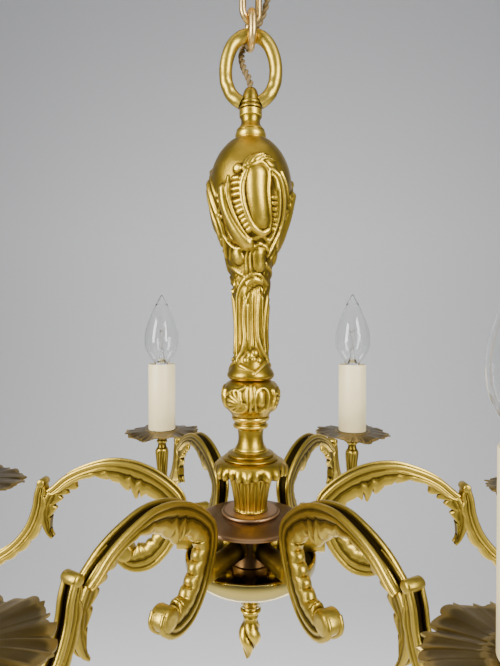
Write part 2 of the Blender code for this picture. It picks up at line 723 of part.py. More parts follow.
def main():
    fresh_scene()
    fixed = [ceiling_plate(), canopy(), canopy_nut(), ceiling_hook()]
    upper = [chain_link("chain_link_upper", UPPER_LINK, UPPER_TOP)]
    lower = [chain_link("chain_link_lower", LOWER_LINK, LOWER_TOP)]
    body = [suspension_ring(), neck_bell(), vase(), knop(), turned_neck(), crown(),
            fluted_cup(), hub_disc(), hub_drum(), bowl_cover(), bowl(), finial_collar(),
            finial(), tie_tube(), *arms()]
    for i in range(ARMS):
        body += [drip_pan(i), candle_sleeve(i), lampholder(i), bulb_cap(i), bulb_glass(i)]
    fixed.append(flex("flex_upper", FLEX_UPPER))
    upper.append(flex("flex_middle", FLEX_MIDDLE))
    body.append(flex("flex_lower", FLEX_LOWER))
    hang(joint_empty("at_ceiling", 0), fixed)
    hang(joint_empty("at_hook", HOOK_Z), upper)
    hang(joint_empty("at_upper_link", UPPER_BAR), lower)
    hang(joint_empty("at_lower_link", LOWER_BAR), body)


main()
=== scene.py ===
# Looks of a six-arm brass chandelier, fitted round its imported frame. The sections follow
# the order in which the real one is hung and put together. Outlines are in millimetres.
import math

import bmesh
import bpy
import numpy as np
from mathutils import Matrix, Vector


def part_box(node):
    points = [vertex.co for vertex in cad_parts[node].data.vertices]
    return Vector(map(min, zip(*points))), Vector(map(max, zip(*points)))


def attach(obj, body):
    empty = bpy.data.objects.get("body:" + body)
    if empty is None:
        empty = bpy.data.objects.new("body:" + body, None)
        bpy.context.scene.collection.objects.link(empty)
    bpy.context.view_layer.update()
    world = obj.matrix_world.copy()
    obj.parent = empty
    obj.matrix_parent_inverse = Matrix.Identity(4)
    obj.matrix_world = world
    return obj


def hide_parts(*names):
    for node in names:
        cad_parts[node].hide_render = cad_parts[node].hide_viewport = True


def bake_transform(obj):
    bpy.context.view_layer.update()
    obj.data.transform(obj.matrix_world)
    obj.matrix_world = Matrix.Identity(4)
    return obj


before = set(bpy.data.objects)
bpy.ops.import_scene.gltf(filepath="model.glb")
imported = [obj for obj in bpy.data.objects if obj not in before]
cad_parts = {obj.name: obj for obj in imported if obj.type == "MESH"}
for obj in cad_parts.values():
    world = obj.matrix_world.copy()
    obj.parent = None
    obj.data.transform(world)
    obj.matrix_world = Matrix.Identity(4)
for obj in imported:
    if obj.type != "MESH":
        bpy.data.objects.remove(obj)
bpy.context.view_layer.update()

MM = 0.001


# ------------------------------------------------------------- viewpoint and studio
# A wide lens a forearm away from the column, level with the vase's waist, in a plain
# pale studio: a curved backdrop and two tall soft boxes that streak the polished metal.
EYE_DISTANCE = 0.3095
EYE_HEIGHT = -0.2781
EYE_TURN = 2.0           # degrees towards +X from straight in front

eye_angle = math.radians(EYE_TURN)
camera = bpy.data.objects.new("viewpoint", bpy.data.cameras.new("viewpoint"))
camera.data.sensor_fit = "VERTICAL"
camera.data.sensor_height = 36.0
camera.data.lens = 25.8
camera.data.clip_start = 0.01
camera.location = (EYE_DISTANCE * math.sin(eye_angle), -EYE_DISTANCE * math.cos(eye_angle),
                   EYE_HEIGHT)
camera.rotation_euler = (math.radians(90 - 0.72), 0, math.radians(EYE_TURN + 0.08))
bpy.context.scene.collection.objects.link(camera)
bpy.context.scene.camera = camera


def soft_box(name, place, size, power, aim=(0, 0, -0.32)):
    """A white rectangular light that faces a point, the vase's foot unless another is given."""
    light = bpy.data.lights.new(name, "AREA")
    light.shape = "RECTANGLE"
    light.size, light.size_y = size
    light.energy = power
    made = bpy.data.objects.new(name, light)
    made.location = place
    made.rotation_euler = (Vector(aim) - Vector(place)).to_track_quat("-Z", "Y").to_euler()
    bpy.context.scene.collection.objects.link(made)


soft_box("window_left", (-0.95, -0.75, 0.05), (0.42, 1.1), 32)
soft_box("window_right", (0.80, -0.85, 0.10), (0.38, 1.1), 27)
soft_box("overhead", (0.0, -0.2, 1.3), (1.6, 1.2), 6)
soft_box("backdrop_wash", (0.0, 0.35, -1.1), (2.4, 0.5), 26, aim=(0, 2.2, 0.2))


def new_finish(name, colour, rough, metallic):
    """A material of one plain colour, and its shader."""
    made = bpy.data.materials.new(name)
    made.use_nodes = True
    shader = made.node_tree.nodes["Principled BSDF"]
    shader.inputs["Base Color"].default_value = (*colour, 1.0)
    shader.inputs["Roughness"].default_value = rough
    shader.inputs["Metallic"].default_value = metallic
    return made, shader


PAPER_FLOOR, PAPER_TOP, PAPER_HALF, PAPER_FRONT = -1.25, 4.0, 4.5, -4.0
PAPER_BEND, PAPER_BEND_AT = 1.6, 1.4     # radius of the curve, and where it starts
paper = bmesh.new()
edge = paper.edges.new([paper.verts.new((x, PAPER_FRONT, PAPER_FLOOR))
                        for x in (-PAPER_HALF, PAPER_HALF)])
for step in range(13):
    turn = math.radians(90 * step / 12)
    grown = bmesh.ops.extrude_edge_only(paper, edges=[edge])["geom"]
    edge = next(g for g in grown if isinstance(g, bmesh.types.BMEdge))
    for vert in edge.verts:
        vert.co.y = PAPER_BEND_AT + PAPER_BEND * math.sin(turn)
        vert.co.z = PAPER_FLOOR + PAPER_BEND - PAPER_BEND * math.cos(turn)
grown = bmesh.ops.extrude_edge_only(paper, edges=[edge])["geom"]
for vert in (g for g in grown if isinstance(g, bmesh.types.BMVert)):
    vert.co.z = PAPER_TOP
for face in paper.faces:
    face.smooth = True
backdrop = bpy.data.objects.new("backdrop", bpy.data.meshes.new("backdrop"))
paper.to_mesh(backdrop.data)
paper.free()
backdrop_paper, _ = new_finish("backdrop_paper", (0.88, 0.875, 0.88), 0.9, 0.0)
backdrop.data.materials.append(backdrop_paper)
bpy.context.scene.collection.objects.link(backdrop)

studio_air = bpy.data.worlds.new("studio_air")
bpy.context.scene.world = studio_air
studio_air.use_nodes = True
air = studio_air.node_tree.nodes["Background"]
air.inputs["Color"].default_value = (0.62, 0.64, 0.68, 1)
air.inputs["Strength"].default_value = 0.34


# ------------------------------------------------------------------------ the flex
# Two cores in golden braid, twisted together. It comes out of the rose, runs beside the
# chain and goes into the ring's foot, and is made in three stretches, one at each joint of the
# chain.
FLEX_D = 0.0044
CORE_R = 0.00112
TWIST = 0.0095           # length of one full turn of the cores
ROUTE_STEPS = 8          # pieces of line between two points of the route


def smooth_line(points, per=4, closed=False):
    """A Catmull-Rom curve through the points, with `per` pieces between two of them."""
    pts = [Vector(p) for p in points]
    n = len(pts)
    line = []
    for i in range(n if closed else n - 1):
        if closed:
            a, b, c, d = (pts[(i + k) % n] for k in (-1, 0, 1, 2))
        else:
            a, b, c, d = (pts[min(max(i + k, 0), n - 1)] for k in (-1, 0, 1, 2))
        for k in range(per):
            t = k / per
            line.append(0.5 * (2 * b + (c - a) * t + (2 * a - 5 * b + 4 * c - d) * t ** 2
                               + (3 * b - a - 3 * c + d) * t ** 3))
    if not closed:
        line.append(pts[-1])
    return line


def wire_mesh(name, lines, radius, sides=4, closed=False):
    """Round wires along lines of points, as one mesh with capped ends."""
    curve = bpy.data.curves.new(name, "CURVE")
    curve.dimensions = "3D"
    curve.bevel_depth = radius
    curve.bevel_resolution = sides
    curve.use_fill_caps = True
    for line in lines:
        spline = curve.splines.new("POLY")
        spline.points.add(len(line) - 1)
        spline.use_cyclic_u = closed
        for point, place in zip(spline.points, line):
            point.co = (*place, 1.0)
    bent = bpy.data.objects.new(name, curve)
    bpy.context.scene.collection.objects.link(bent)
    mesh = bpy.data.meshes.new_from_object(
        bent.evaluated_get(bpy.context.evaluated_depsgraph_get()))
    bpy.data.objects.remove(bent, do_unlink=True)
    mesh.name = name
    for face in mesh.polygons:
        face.use_smooth = True
    return mesh


def place_piece(name, mesh, material, slot, *nodes, body=None):
    """Links a finished piece, which stands for the CAD nodes and rides on their body."""
    made = bpy.data.objects.new(name, mesh)
    bpy.context.scene.collection.objects.link(made)
    mesh.materials.clear()
    mesh.materials.append(material)
    if nodes:
        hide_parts(*nodes)
    if body:
        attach(made, body)
    return made


def nodes_of(material):
    """A material's nodes and links."""
    return material.node_tree.nodes, material.node_tree.links


def grain_group():
    """Mottled colour, roughness and fine height for any finish, from its own colours."""
    group = bpy.data.node_groups.new("surface_grain", "ShaderNodeTree")
    face = group.interface
    for label, kind in (("Light", "NodeSocketColor"), ("Dark", "NodeSocketColor"),
                        ("Patch Scale", "NodeSocketFloat"), ("Grain Scale", "NodeSocketFloat"),
                        ("Rough", "NodeSocketFloat"), ("Rough Spread", "NodeSocketFloat")):
        face.new_socket(label, in_out="INPUT", socket_type=kind)
    for label, kind in (("Color", "NodeSocketColor"), ("Roughness", "NodeSocketFloat"),
                        ("Height", "NodeSocketFloat")):
        face.new_socket(label, in_out="OUTPUT", socket_type=kind)
    nodes, links = group.nodes, group.links
    given, out = nodes.new("NodeGroupInput"), nodes.new("NodeGroupOutput")
    place = nodes.new("ShaderNodeTexCoord")
    patch, grain = nodes.new("ShaderNodeTexNoise"), nodes.new("ShaderNodeTexNoise")
    patch.inputs["Detail"].default_value = 5.0
    grain.inputs["Detail"].default_value = 3.0
    for noise, scale in ((patch, "Patch Scale"), (grain, "Grain Scale")):
        links.new(place.outputs["Object"], noise.inputs["Vector"])
        links.new(given.outputs[scale], noise.inputs["Scale"])
    spread = nodes.new("ShaderNodeMapRange")
    spread.inputs["From Min"].default_value = 0.36
    spread.inputs["From Max"].default_value = 0.66
    links.new(patch.outputs["Fac"], spread.inputs["Value"])
    mix = nodes.new("ShaderNodeMix")
    mix.data_type = "RGBA"
    links.new(spread.outputs["Result"], mix.inputs[0])
    links.new(given.outputs["Dark"], mix.inputs[6])
    links.new(given.outputs["Light"], mix.inputs[7])
    links.new(mix.outputs[2], out.inputs["Color"])
    rough = nodes.new("ShaderNodeMath")
    rough.operation = "MULTIPLY_ADD"
    links.new(grain.outputs["Fac"], rough.inputs[0])
    links.new(given.outputs["Rough Spread"], rough.inputs[1])
    links.new(given.outputs["Rough"], rough.inputs[2])
    links.new(rough.outputs[0], out.inputs["Roughness"])
    links.new(grain.outputs["Fac"], out.inputs["Height"])
    return group


SURFACE_GRAIN = grain_group()


def add_grain(nodes, links, shader, light, dark, patch, grain, rough, spread, strength, bump):
    """Adds the grain's node with its values, and a bump from it on the shader."""
    tone = nodes.new("ShaderNodeGroup")
    tone.node_tree = SURFACE_GRAIN
    for label, value in (("Light", (*light, 1.0)), ("Dark", (*dark, 1.0)),
                         ("Patch Scale", patch), ("Grain Scale", grain),
                         ("Rough", rough), ("Rough Spread", spread)):
        tone.inputs[label].default_value = value
    rise = nodes.new("ShaderNodeBump")
    rise.inputs["Strength"].default_value = strength
    rise.inputs["Distance"].default_value = bump
    links.new(tone.outputs["Height"], rise.inputs["Height"])
    links.new(rise.outputs["Normal"], shader.inputs["Normal"])
    return tone


def grained(name, light, dark, rough, metallic, patch=90.0, grain=1400.0, spread=0.12,
            bump=0.00004):
    """A finish with patches of two near colours and a fine grain."""
    made, shader = new_finish(name, light, rough, metallic)
    nodes, links = nodes_of(made)
    tone = add_grain(nodes, links, shader, light, dark, patch, grain, rough - spread / 2,
                     spread, 0.5, bump)
    links.new(tone.outputs["Color"], shader.inputs["Base Color"])
    links.new(tone.outputs["Roughness"], shader.inputs["Roughness"])
    return made


BRAID = grained("golden_braid", (0.27, 0.175, 0.05), (0.08, 0.05, 0.015), 0.62, 0.15,
                patch=2600.0, grain=5200.0, bump=0.00025)

FLEX_ROUTE = [
    (13.0, 5.0, -33.2), (13.0, 5.0, -37.2), (13.0, 5.0, -42.5), (12.9, 5.2, -48.0),
    (12.4, 5.7, -53.5), (11.6, 6.5, -59.0), (10.35, 7.7, -64.3), (8.9, 9.3, -68.8),
    (6.8, 11.4, -72.8), (4.1, 13.1, -76.8), (1.2, 13.8, -81.0), (-1.85, 13.45, -85.5),
    (-4.3, 12.2, -90.2),
    (-5.9, 10.2, -94.8), (-6.4, 7.8, -99.6), (-5.8, 5.5, -104.8), (-4.4, 3.5, -110.2),
    (-2.4, 1.6, -114.8), (-0.7, 0.4, -119.4), (0.0, 0.0, -124.2), (0.0, 0.0, -128.4),
    (0.0, 0.0, -132.5)]


def twisted_cores(line):
    """The middles of two cores that wind round a line."""
    side = (line[1] - line[0]).orthogonal().normalized()
    cores, walked = ([], []), 0.0
    for i, place in enumerate(line):
        along = (line[min(i + 1, len(line) - 1)] - line[max(i - 1, 0)]).normalized()
        side = (side - along * side.dot(along)).normalized()
        turn = Matrix.Rotation(2 * math.pi * walked / TWIST, 3, along)
        reach = turn @ side * (FLEX_D / 2 - CORE_R)
        cores[0].append(place + reach)
        cores[1].append(place - reach)
        if i < len(line) - 1:
            walked += (line[i + 1] - place).length
    return cores


flex_line = smooth_line([Vector(p) * MM for p in FLEX_ROUTE], ROUTE_STEPS)
flex_cores = twisted_cores(flex_line)
# each stretch runs past one joint: its two bodies, and its first and last point of the route
for flex_node, above, below, first, last in (
        ("flex_upper", "ceiling", "link_upper", 0, 6),
        ("flex_middle", "link_upper", "link_lower", 6, 12),
        ("flex_lower", "link_lower", "chandelier", 12, 21)):
    a, b = ROUTE_STEPS * first, ROUTE_STEPS * last
    flex_piece = place_piece("twisted_" + flex_node, wire_mesh(
        "twisted_" + flex_node, [core[a:b + 1] for core in flex_cores], CORE_R, 3),
        BRAID, "twisted_flex", flex_node)
    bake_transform(flex_piece)


# --------------------------------------------------------------- ceiling fitting
# A flat iron bar screwed to the ceiling, the spun rose that covers it, and the round
# hook that comes through both and is locked by a turned nut under the rose.
CAST_STEPS = 96


def profile(points, per=5):
    """A smooth outline through the points. A point given twice in a row is a corner."""
    runs, run = [], [points[0]]
    for before, here in zip(points, points[1:]):
        if here == before:
            runs.append(run)
            run = []
        run.append(here)
    runs.append(run)
    line = []
    for run in runs:
        if len(run) > 1:
            line += [(p.x, p.y) for p in smooth_line([(*p, 0.0) for p in run], per)]
    return [p for i, p in enumerate(line) if i == 0 or math.dist(p, line[i - 1]) > 1e-4]


def spun(name, outline, top, steps=CAST_STEPS):
    """A closed body of revolution about Z, from millimetres below a height in metres."""
    bm = bmesh.new()
    verts = [bm.verts.new((max(r, 0) * MM, 0, top + z * MM)) for r, z in outline]
    pairs = list(zip(verts, verts[1:]))
    if outline[0][0] > 0 or outline[-1][0] > 0:
        pairs.append((verts[-1], verts[0]))
    edges = [bm.edges.new(pair) for pair in pairs]
    bmesh.ops.spin(bm, geom=verts + edges, axis=(0, 0, 1), cent=(0, 0, 0),
                   angle=2 * math.pi, steps=steps, use_merge=True)
    bmesh.ops.remove_doubles(bm, verts=bm.verts, dist=2e-6)
    bmesh.ops.recalc_face_normals(bm, faces=bm.faces)
    return mesh_from(name, bm)


def mesh_from(name, bm, sharp=40):
    """A smooth mesh from a bmesh, with edges kept sharp past an angle in degrees."""
    mesh = bpy.data.meshes.new(name)
    bm.to_mesh(mesh)
    bm.free()
    mesh.shade_smooth()
    mesh.set_sharp_from_angle(angle=math.radians(sharp))
    return mesh


def crest_of(mesh, rounds=24, depth=0.00035):
    """Stores how far each point stands above (towards 1) or below (towards 0) the smoothed
    shape round it, so that a finish can be dark in hollows and bright on crests."""
    count = len(mesh.vertices)
    co, normal = np.empty(count * 3), np.empty(count * 3)
    mesh.vertices.foreach_get("co", co)
    mesh.vertices.foreach_get("normal", normal)
    co, normal = co.reshape(-1, 3), normal.reshape(-1, 3)
    ends = np.empty(len(mesh.edges) * 2, dtype=np.int64)
    mesh.edges.foreach_get("vertices", ends)
    a, b = ends[::2], ends[1::2]
    degree = np.maximum(np.bincount(ends, minlength=count), 1)
    soft = co.copy()
    for _ in range(rounds):
        total = np.stack([np.bincount(a, soft[b, k], count) + np.bincount(b, soft[a, k], count)
                          for k in range(3)], axis=1)
        soft = 0.4 * soft + 0.6 * total / degree[:, None]
    height = ((co - soft) * normal).sum(axis=1)
    value = np.clip(0.5 + height / (2 * depth), 0, 1)
    mesh.attributes.new("crest", "FLOAT", "POINT").data.foreach_set("value", value)
    return mesh


def cast_brass(name, hollow, body, crest, rough, patch=120.0, bump=0.00006):
    """Cast brass: dirt and old lacquer in the hollows, bare metal on the crests."""
    made, shader = new_finish(name, body, rough, 1.0)
    nodes, links = nodes_of(made)
    shade = [c * 0.72 for c in body]
    tone = add_grain(nodes, links, shader, body, shade, patch, 900.0, rough - 0.05, 0.16,
                     0.6, bump)
    worn = nodes.new("ShaderNodeAttribute")
    worn.attribute_name = "crest"
    low, high = nodes.new("ShaderNodeMapRange"), nodes.new("ShaderNodeMapRange")
    low.inputs["From Min"].default_value = 0.44
    low.inputs["From Max"].default_value = 0.06
    high.inputs["From Min"].default_value = 0.56
    high.inputs["From Max"].default_value = 0.86
    dirty, shiny = nodes.new("ShaderNodeMix"), nodes.new("ShaderNodeMix")
    for mix in (dirty, shiny):
        mix.data_type = "RGBA"
    for ramp, mix in ((low, dirty), (high, shiny)):
        ramp.interpolation_type = "SMOOTHSTEP"
        links.new(worn.outputs["Fac"], ramp.inputs["Value"])
        links.new(ramp.outputs["Result"], mix.inputs[0])
    links.new(tone.outputs["Color"], shiny.inputs[6])
    shiny.inputs[7].default_value = (*crest, 1.0)
    links.new(shiny.outputs[2], dirty.inputs[6])
    dirty.inputs[7].default_value = (*hollow, 1.0)
    links.new(dirty.outputs[2], shader.inputs["Base Color"])
    rough_mix = nodes.new("ShaderNodeMath")
    rough_mix.operation = "MULTIPLY_ADD"
    rough_mix.inputs[1].default_value = 0.22
    links.new(low.outputs["Result"], rough_mix.inputs[0])
    links.new(tone.outputs["Roughness"], rough_mix.inputs[2])
    links.new(rough_mix.outputs[0], shader.inputs["Roughness"])
    return made


GILT = cast_brass("gilt_casting", (0.050, 0.030, 0.005), (0.43, 0.280, 0.028),
                  (0.68, 0.47, 0.060), 0.32, bump=0.00013)
DULL_GILT = cast_brass("dull_casting", (0.030, 0.019, 0.004), (0.250, 0.165, 0.020),
                       (0.50, 0.350, 0.052), 0.34, bump=0.00013)
WAXED = cast_brass("brown_patina", (0.04, 0.022, 0.010), (0.215, 0.125, 0.056),
                   (0.42, 0.25, 0.125), 0.42, patch=70.0)
COPPERED = cast_brass("coppered_wire", (0.08, 0.045, 0.012), (0.40, 0.25, 0.065),
                      (0.68, 0.46, 0.16), 0.30)
IRON_BAR = grained("plain_bar", (0.30, 0.28, 0.25), (0.20, 0.18, 0.16), 0.5, 1.0)
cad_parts["ceiling_plate"].data.materials.clear()
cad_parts["ceiling_plate"].data.materials.append(IRON_BAR)

rose_r, rose_low = 42.0, -38.0
rose_out = profile([(rose_r, -0.4), (rose_r, -5.2), (rose_r, -5.2), (rose_r - 1.2, -7.4),
                    (rose_r - 3.6, -8.6), (rose_r - 3.6, -8.6), (rose_r - 6.6, -13.2),
                    (rose_r - 13.5, -22.0), (rose_r - 18.0, -28.0), (rose_r - 19.8, -33.0),
                    (rose_r - 19.8, -33.0), (rose_r - 19.4, -35.0), (rose_r - 21.2, -37.4),
                    (rose_r - 22.0, rose_low), (rose_r - 22.0, rose_low), (2.9, rose_low)])
rose_in = profile([(2.9, -36.8), (19.0, -36.4), (20.6, -33.0), (22.6, -27.4),
                   (27.0, -20.6), (34.0, -12.2), (37.2, -8.0), (40.4, -5.0), (40.4, -0.4)])
place_piece("ceiling_rose", crest_of(spun("ceiling_rose", rose_out + rose_in, 0.0)), GILT,
            "gilt_brass", "canopy", body="ceiling")
grommet = spun("flex_grommet", profile([(4.5, 1.2), (5.2, -0.6), (4.5, -1.6), (3.2, -1.6),
                                        (3.0, -0.4), (3.2, 1.2)]), 0.0, 32)
grommet.transform(Matrix.Translation((0.013, 0.005, -0.0385)))
place_piece("flex_grommet", crest_of(grommet), WAXED, "patinated_brass", body="ceiling")

nut_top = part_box("canopy_nut")[1][2]
nut = spun("locking_nut", profile([(2.6, 0), (5.9, 0), (5.9, 0), (6.4, -0.8), (6.4, -2.9),
                                   (5.9, -3.6), (5.9, -3.6), (5.0, -3.8), (4.6, -4.6),
                                   (4.6, -4.6), (2.6, -4.6)]), nut_top)
place_piece("locking_nut", crest_of(nut), GILT, "gilt_brass", "canopy_nut", body="ceiling")

hook_low, hook_top = (corner[2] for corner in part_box("ceiling_hook"))
HOOK_R, HOOK_WIRE, HOOK_TURN = 6.4, 2.2, 128.0
bend_z = hook_low / MM + HOOK_WIRE + HOOK_R
arc = [Vector((math.cos(a) * HOOK_R, 0, math.sin(a) * HOOK_R + bend_z))
       for a in (math.radians(150 + 16 * k) for k in range(15))]
shank = [Vector((0, 0, hook_top / MM)), Vector((0, 0, -24)), Vector((0, 0, bend_z + 8.6)),
         Vector((-0.30 * HOOK_R, 0, bend_z + 6.0))]
spin = Matrix.Rotation(math.radians(HOOK_TURN), 3, "Z")
hook_line = [spin @ p * MM for p in smooth_line(shank + arc, 4)]
place_piece("hook", crest_of(wire_mesh("hook", [hook_line], HOOK_WIRE * MM, 5)), COPPERED,
            "chain_copper_brass", "ceiling_hook", body="ceiling")


# ------------------------------------------------------------------------ chain
# Two short oval links of round wire, each bent round and brazed at the middle of one side.
LINKS = {"chain_link_upper": ("link_upper", 32.0, 17.0, 4.4, 38.0),
         "chain_link_lower": ("link_lower", 26.0, 20.6, 5.2, 102.0)}
for link_name, (link_body, link_long, link_wide, link_wire, link_turn) in LINKS.items():
    bend = (link_wide - link_wire) / 2
    straight = (link_long - link_wide) / 2
    middle_z = sum(corner[2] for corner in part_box(link_name)) / 2 / MM
    spin = Matrix.Rotation(math.radians(link_turn), 3, "Z")
    loop = []
    for k in range(48):
        a = math.radians(7.5 * k + 0.01)
        lift = straight if k < 24 else -straight
        loop.append(spin @ Vector((bend * math.cos(a), 0, bend * math.sin(a) + lift
                                   + middle_z)) * MM)
    link = wire_mesh("oval_" + link_name, [loop], link_wire / 2 * MM, 5, closed=True)
    place_piece("oval_" + link_name, crest_of(link), COPPERED, "chain_copper_brass",
                link_name, body=link_body)


# -------------------------------------------------------------- suspension ring
# The cast ring that the chandelier hangs by: an egg-shaped loop whose ends flow into a
# round foot, drilled through for the flex.
ring_low, ring_top = (corner[2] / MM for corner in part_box("suspension_ring"))
RING_W, RING_WIRE = 16.2, 4.3
crown_z = ring_top - RING_WIRE
half = [(0.0, 0.0), (0.42, -1.6), (0.72, -6.2), (0.91, -13.4), (1.0, -21.5), (0.985, -28.5),
        (0.85, -35.4), (0.62, -40.4), (0.36, -43.2)]
side = [Vector((x * RING_W, 0, crown_z + z)) for x, z in half]
ring_line = smooth_line([Vector((-p.x, 0, p.z)) for p in reversed(side[1:])] + side, 5)
ring_mesh = wire_mesh("ring_loop", [[p * MM for p in ring_line]], RING_WIRE * MM, 6)
for vert in ring_mesh.vertices:
    turn = math.atan2(vert.co.x, vert.co.z + 0.116)
    lump = 0.5 + 0.5 * math.cos(9 * turn + 2 * math.sin(3 * turn) + 400 * vert.co.y)
    vert.co.y *= 1 - 0.13 * lump
    vert.co.x *= 1 - 0.012 * lump
ring_foot = spun("ring_foot", profile([(2.55, 13.5), (3.3, 13.4), (4.4, 11.6), (5.2, 8.4),
                                       (5.6, 5.2), (5.6, 5.2), (6.5, 4.6), (6.7, 3.4),
                                       (6.3, 2.6), (6.3, 2.6), (7.2, 1.4), (7.4, 0.2),
                                       (7.4, 0.2), (2.55, 0.2)]), ring_low * MM)
joined = bmesh.new()
joined.from_mesh(ring_mesh)
joined.from_mesh(ring_foot)
place_piece("hanging_ring", crest_of(mesh_from("hanging_ring", joined), 16), DULL_GILT,
            "gilt_brass", "suspension_ring", body="chandelier")


# ------------------------------------------------------------------- cast column
# Hollow castings strung on the tie tube: a bell, the long vase with its three shell
# cartouches, a knop with leaves, a turned neck, a leafy collar and a fluted cup.
BORE = 4.3               # radius of the hole that the tie tube passes through
STROKE_SPREAD = 1.14     # a stroke is cast this much wider than its drawn half width


def stroke_gap(around, down, radius, line):
    """How far points of an unrolled casting lie from a line, in millimetres, and where
    along the line the nearest place is, from 0 to 1."""
    best, where = np.full(len(around), 1e9), np.zeros(len(around))
    for k, (a, b) in enumerate(zip(line, line[1:])):
        ux = math.radians(b[0] - a[0]) * radius
        uy = b[1] - a[1]
        px = np.radians(around - a[0]) * radius
        py = down - a[1]
        t = np.clip((px * ux + py * uy) / np.maximum(ux * ux + uy * uy, 1e-9), 0, 1)
        gap = np.hypot(px - t * ux, py - t * uy)
        nearer = gap < best
        best[nearer] = gap[nearer]
        where[nearer] = (k + t[nearer]) / (len(line) - 1)
    return best, where


SHAPES = {"round": lambda q: 0.92 * np.maximum(1 - q * q, 0) ** 0.8,
          "soft": lambda q: np.cos(q * np.pi / 2) ** 2,
          "ridge": lambda q: 1 - q,
          "flat": lambda q: np.clip((1 - q) * 3.2, 0, 1)}


def emboss(mesh, strokes, top, copies, front=-90.0):
    """Raises strokes on a turned casting: (points, widths, height, shape). A point is
    millimetres right of the middle as seen from the front, and millimetres down."""
    count = len(mesh.vertices)
    co = np.empty(count * 3)
    mesh.vertices.foreach_get("co", co)
    co = co.reshape(-1, 3) / MM
    radius = np.hypot(co[:, 0], co[:, 1])
    around = np.degrees(np.arctan2(co[:, 1], co[:, 0])) - front
    down = top / MM - co[:, 2]
    outer = radius > 7.0
    levels = np.arange(0, down.max() + 1, 1.0)
    wide = [radius[np.abs(down - z) < 1.2].max(initial=8.0) for z in levels]
    rise, sink, swell = np.zeros(count), np.zeros(count), np.zeros(count)
    for points, widths, height, shape in strokes:
        line = []
        if len(points) == 1:         # a round spot: a line too short to see
            x, fall = points[0]
            points = [(x, fall), (x, fall + 0.01)]
            drawn = [Vector((*p, 0)) for p in points]
        else:
            drawn = smooth_line([(*p, 0.0) for p in points], 5)
        for p in drawn:
            r = float(np.interp(p.y, levels, wide))
            line.append((math.degrees(math.asin(max(-0.97, min(0.97, p.x / r)))), p.y))
        reach = STROKE_SPREAD * max(widths)
        low, high = min(p[1] for p in line) - reach, max(p[1] for p in line) + reach
        for copy in range(copies):
            angle = (around - 360 * copy / copies + 180) % 360 - 180
            slack = math.degrees(reach / 8.0)
            near = np.flatnonzero(outer & (down > low) & (down < high)
                                  & (angle > min(p[0] for p in line) - slack)
                                  & (angle < max(p[0] for p in line) + slack))
            if not len(near):
                continue
            gap, t = stroke_gap(angle[near], down[near], radius[near], line)
            width = STROKE_SPREAD * (widths[0] + (widths[1] - widths[0]) * t)
            q = np.clip(gap / np.maximum(width, 0.05), 0, 1)
            lift = np.where(q < 1, SHAPES[shape](q), 0) * abs(height)
            store = sink if height < 0 else swell if shape == "soft" else rise
            store[near] = np.maximum(store[near], lift)
    grown = (radius + rise + swell - sink) / np.maximum(radius, 1e-6)
    co[:, 0] *= grown
    co[:, 1] *= grown
    mesh.vertices.foreach_set("co", (co * MM).ravel())
    mesh.update()
    return mesh


def casting(name, node, outline, strokes=(), copies=1, steps=CAST_STEPS, rounds=24,
            depth=0.00035, finish=None, slot="gilt_brass"):
    """A turned casting with a straight bore, its relief, and its finish."""
    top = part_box(node)[1][2]
    closed = [(BORE, outline[0][1]), *outline, (BORE, outline[-1][1])]
    mesh = spun(name, closed, top, steps)
    if strokes:
        emboss(mesh, strokes, top, copies)
    return place_piece(name, crest_of(mesh, rounds, depth), finish or GILT, slot, node,
                       body="chandelier")


casting("bell", "neck_bell", profile([
    (6.8, 0.0), (7.3, -0.8), (7.3, -4.2), (7.3, -4.2), (6.7, -4.9), (6.2, -6.6), (6.3, -8.8),
    (7.4, -11.0), (8.8, -12.6), (9.2, -13.3), (9.2, -13.3), (8.9, -13.9), (9.6, -14.8),
    (10.0, -16.6), (9.6, -18.4), (9.0, -19.3)], 6))

# The vase. Each cartouche is a smooth kidney boss in a double rim, with gadroons beside
# it, a feathered leaf over it, a branch at its left and long ribs that sweep round it.
VASE_H, VASE_R = 153.2, 27.4


def bars_along(points, count, half, width, height):
    """Short bars set across a line, like gadroons beside a rim."""
    line = smooth_line([(*p, 0.0) for p in points], 12)
    made = []
    for k in range(count):
        i = int((k + 0.5) / count * (len(line) - 2))
        along = (line[i + 1] - line[i]).normalized()
        across = Vector((-along.y, along.x, 0)) * half
        a, b = line[i] - across, line[i] + across
        made.append(([(a.x, a.y), (b.x, b.y)], (width, width), height, "round"))
    return made


